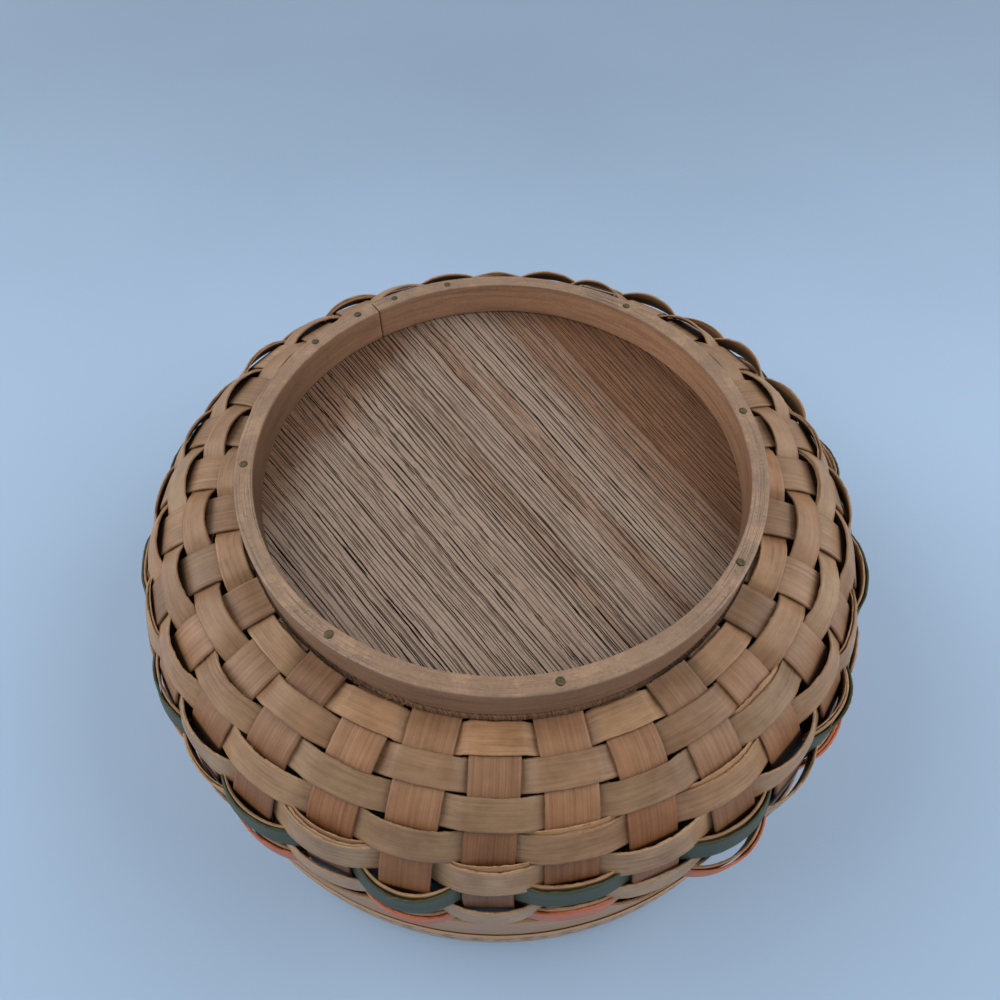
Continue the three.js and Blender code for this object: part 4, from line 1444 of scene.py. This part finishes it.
class BASKET_OT_fibres(bpy.types.Operator):
    """Loose hairs of wood along the torn edges of the splints"""

    bl_idname = "basket.fibres"
    bl_label = "Loose fibres"

    def execute(self, context):
        c = context.scene.basket_finishes
        rng = np.random.default_rng(77)
        rings, faces = [], []
        for edges in loose_edges:
            for start in rng.integers(5, len(edges[0]) - 12, HAIRS_ON_EDGE):
                self.hair(rng, edges, start, rings, faces)
        for edges in loose_edges[:2]:
            turned = np.degrees(np.arctan2(edges[0][:, 1], edges[0][:, 0]))
            for degrees in STANDING_HAIRS:
                start = int(np.argmin(np.abs(turned[:-8] - degrees)))
                self.hair(rng, edges, start, rings, faces, 4.5 * MM, 1.6, 2.5)
        finish = splint_finish("loose_fibre", c.torn_edge, c.weaver_light, c.torn_edge, 1.0, 0.5, 0.0)
        points = np.array(rings)
        fibres = make_object("loose_fibres", points, faces, finish)
        store(fibres.data, grain=points, tone=np.ones(len(points)), edge=np.zeros(len(points)))
        return {"FINISHED"}

    def hair(self, rng, edges, start, rings, faces, extra=0.0, rise=0.05, stout=1.0):
        """One hair: a tapering tube of three sides that leaves the edge at a low angle."""
        root, outward, up = edges[0][start], edges[1][start], -edges[2][start]
        along = edges[0][start + HAIR_SPAN] - root
        along = along / np.linalg.norm(along) * rng.choice([-1, 1])
        length = rng.uniform(1.5, 5.5) * MM + extra
        radius = rng.uniform(0.05, 0.09) * MM * stout
        heading = along + outward * (rng.uniform(0, 0.5) + rise) + up * rng.uniform(0.05, 0.6)
        bend = outward * rng.normal(0, 0.6) + up * rng.normal(0, 0.5)
        point = root - heading * 0.2 * MM
        first, last = len(rings), len(rings) + 3 * (HAIR_RINGS - 1)
        for k in range(HAIR_RINGS):
            way = heading + bend * (k / HAIR_RINGS)
            way = way / np.linalg.norm(way)
            side = np.cross(way, outward)
            side = side / np.linalg.norm(side)
            other = np.cross(way, side)
            thick = radius * (1 - 0.85 * k / (HAIR_RINGS - 1))
            for corner in range(3):
                a = corner * TURN / 3
                rings.append(point + (side * math.cos(a) + other * math.sin(a)) * thick)
            point = point + way * length / (HAIR_RINGS - 1)
        for ring in range(first, last, 3):
            for corner in range(3):
                a, b = ring + corner, ring + (corner + 1) % 3
                faces.append((a, b, b + 3, a + 3))
        faces.append((first + 2, first + 1, first))
        faces.append((last, last + 1, last + 2))


class BASKET_PT_panel(bpy.types.Panel):
    """Lists the basket's sizes, colours and pieces."""

    bl_idname = "BASKET_PT_panel"
    bl_label = "Woven basket"
    bl_space_type = "VIEW_3D"
    bl_region_type = "UI"
    bl_category = "Basket"

    def draw(self, context):
        """Shows the operators first, then a box for each group of sizes or colours."""
        for operator in OPERATORS:
            self.layout.operator(operator.bl_idname)
        for group in (getattr(context.scene, name) for name in GROUPS):
            box = self.layout.box()
            for key in group.bl_rna.properties.keys():
                if key not in ("rna_type", "name"):
                    box.prop(group, key)


OPERATORS = (
    BASKET_OT_stage, BASKET_OT_hoop, BASKET_OT_panel, BASKET_OT_brads, BASKET_OT_clamp_ring,
    BASKET_OT_spokes, BASKET_OT_weavers, BASKET_OT_rim, BASKET_OT_fibres,
)
GROUPS = {
    "basket_wall": WallSizes, "basket_weave": WeaveSizes, "basket_base": BaseSizes,
    "basket_finishes": Finishes,
}


def register():
    """Makes the sizes, colours, operators and panel known."""
    for group in GROUPS.values():
        bpy.utils.register_class(group)
    for name, group in GROUPS.items():
        setattr(bpy.types.Scene, name, bpy.props.PointerProperty(type=group))
    for operator in (*OPERATORS, BASKET_PT_panel):
        bpy.utils.register_class(operator)


def unregister():
    """Takes back what register did."""
    for operator in (*OPERATORS, BASKET_PT_panel):
        bpy.utils.unregister_class(operator)
    for name in GROUPS:
        delattr(bpy.types.Scene, name)
    for group in GROUPS.values():
        bpy.utils.unregister_class(group)


def main():
    """Makes the stage and every piece."""
    register()
    bpy.ops.basket.stage()
    bpy.ops.basket.hoop()
    bpy.ops.basket.panel()
    bpy.ops.basket.brads()
    bpy.ops.basket.clamp_ring()
    bpy.ops.basket.spokes()
    bpy.ops.basket.weavers()
    bpy.ops.basket.rim()
    bpy.ops.basket.fibres()


if __name__ == "__main__":
    main()
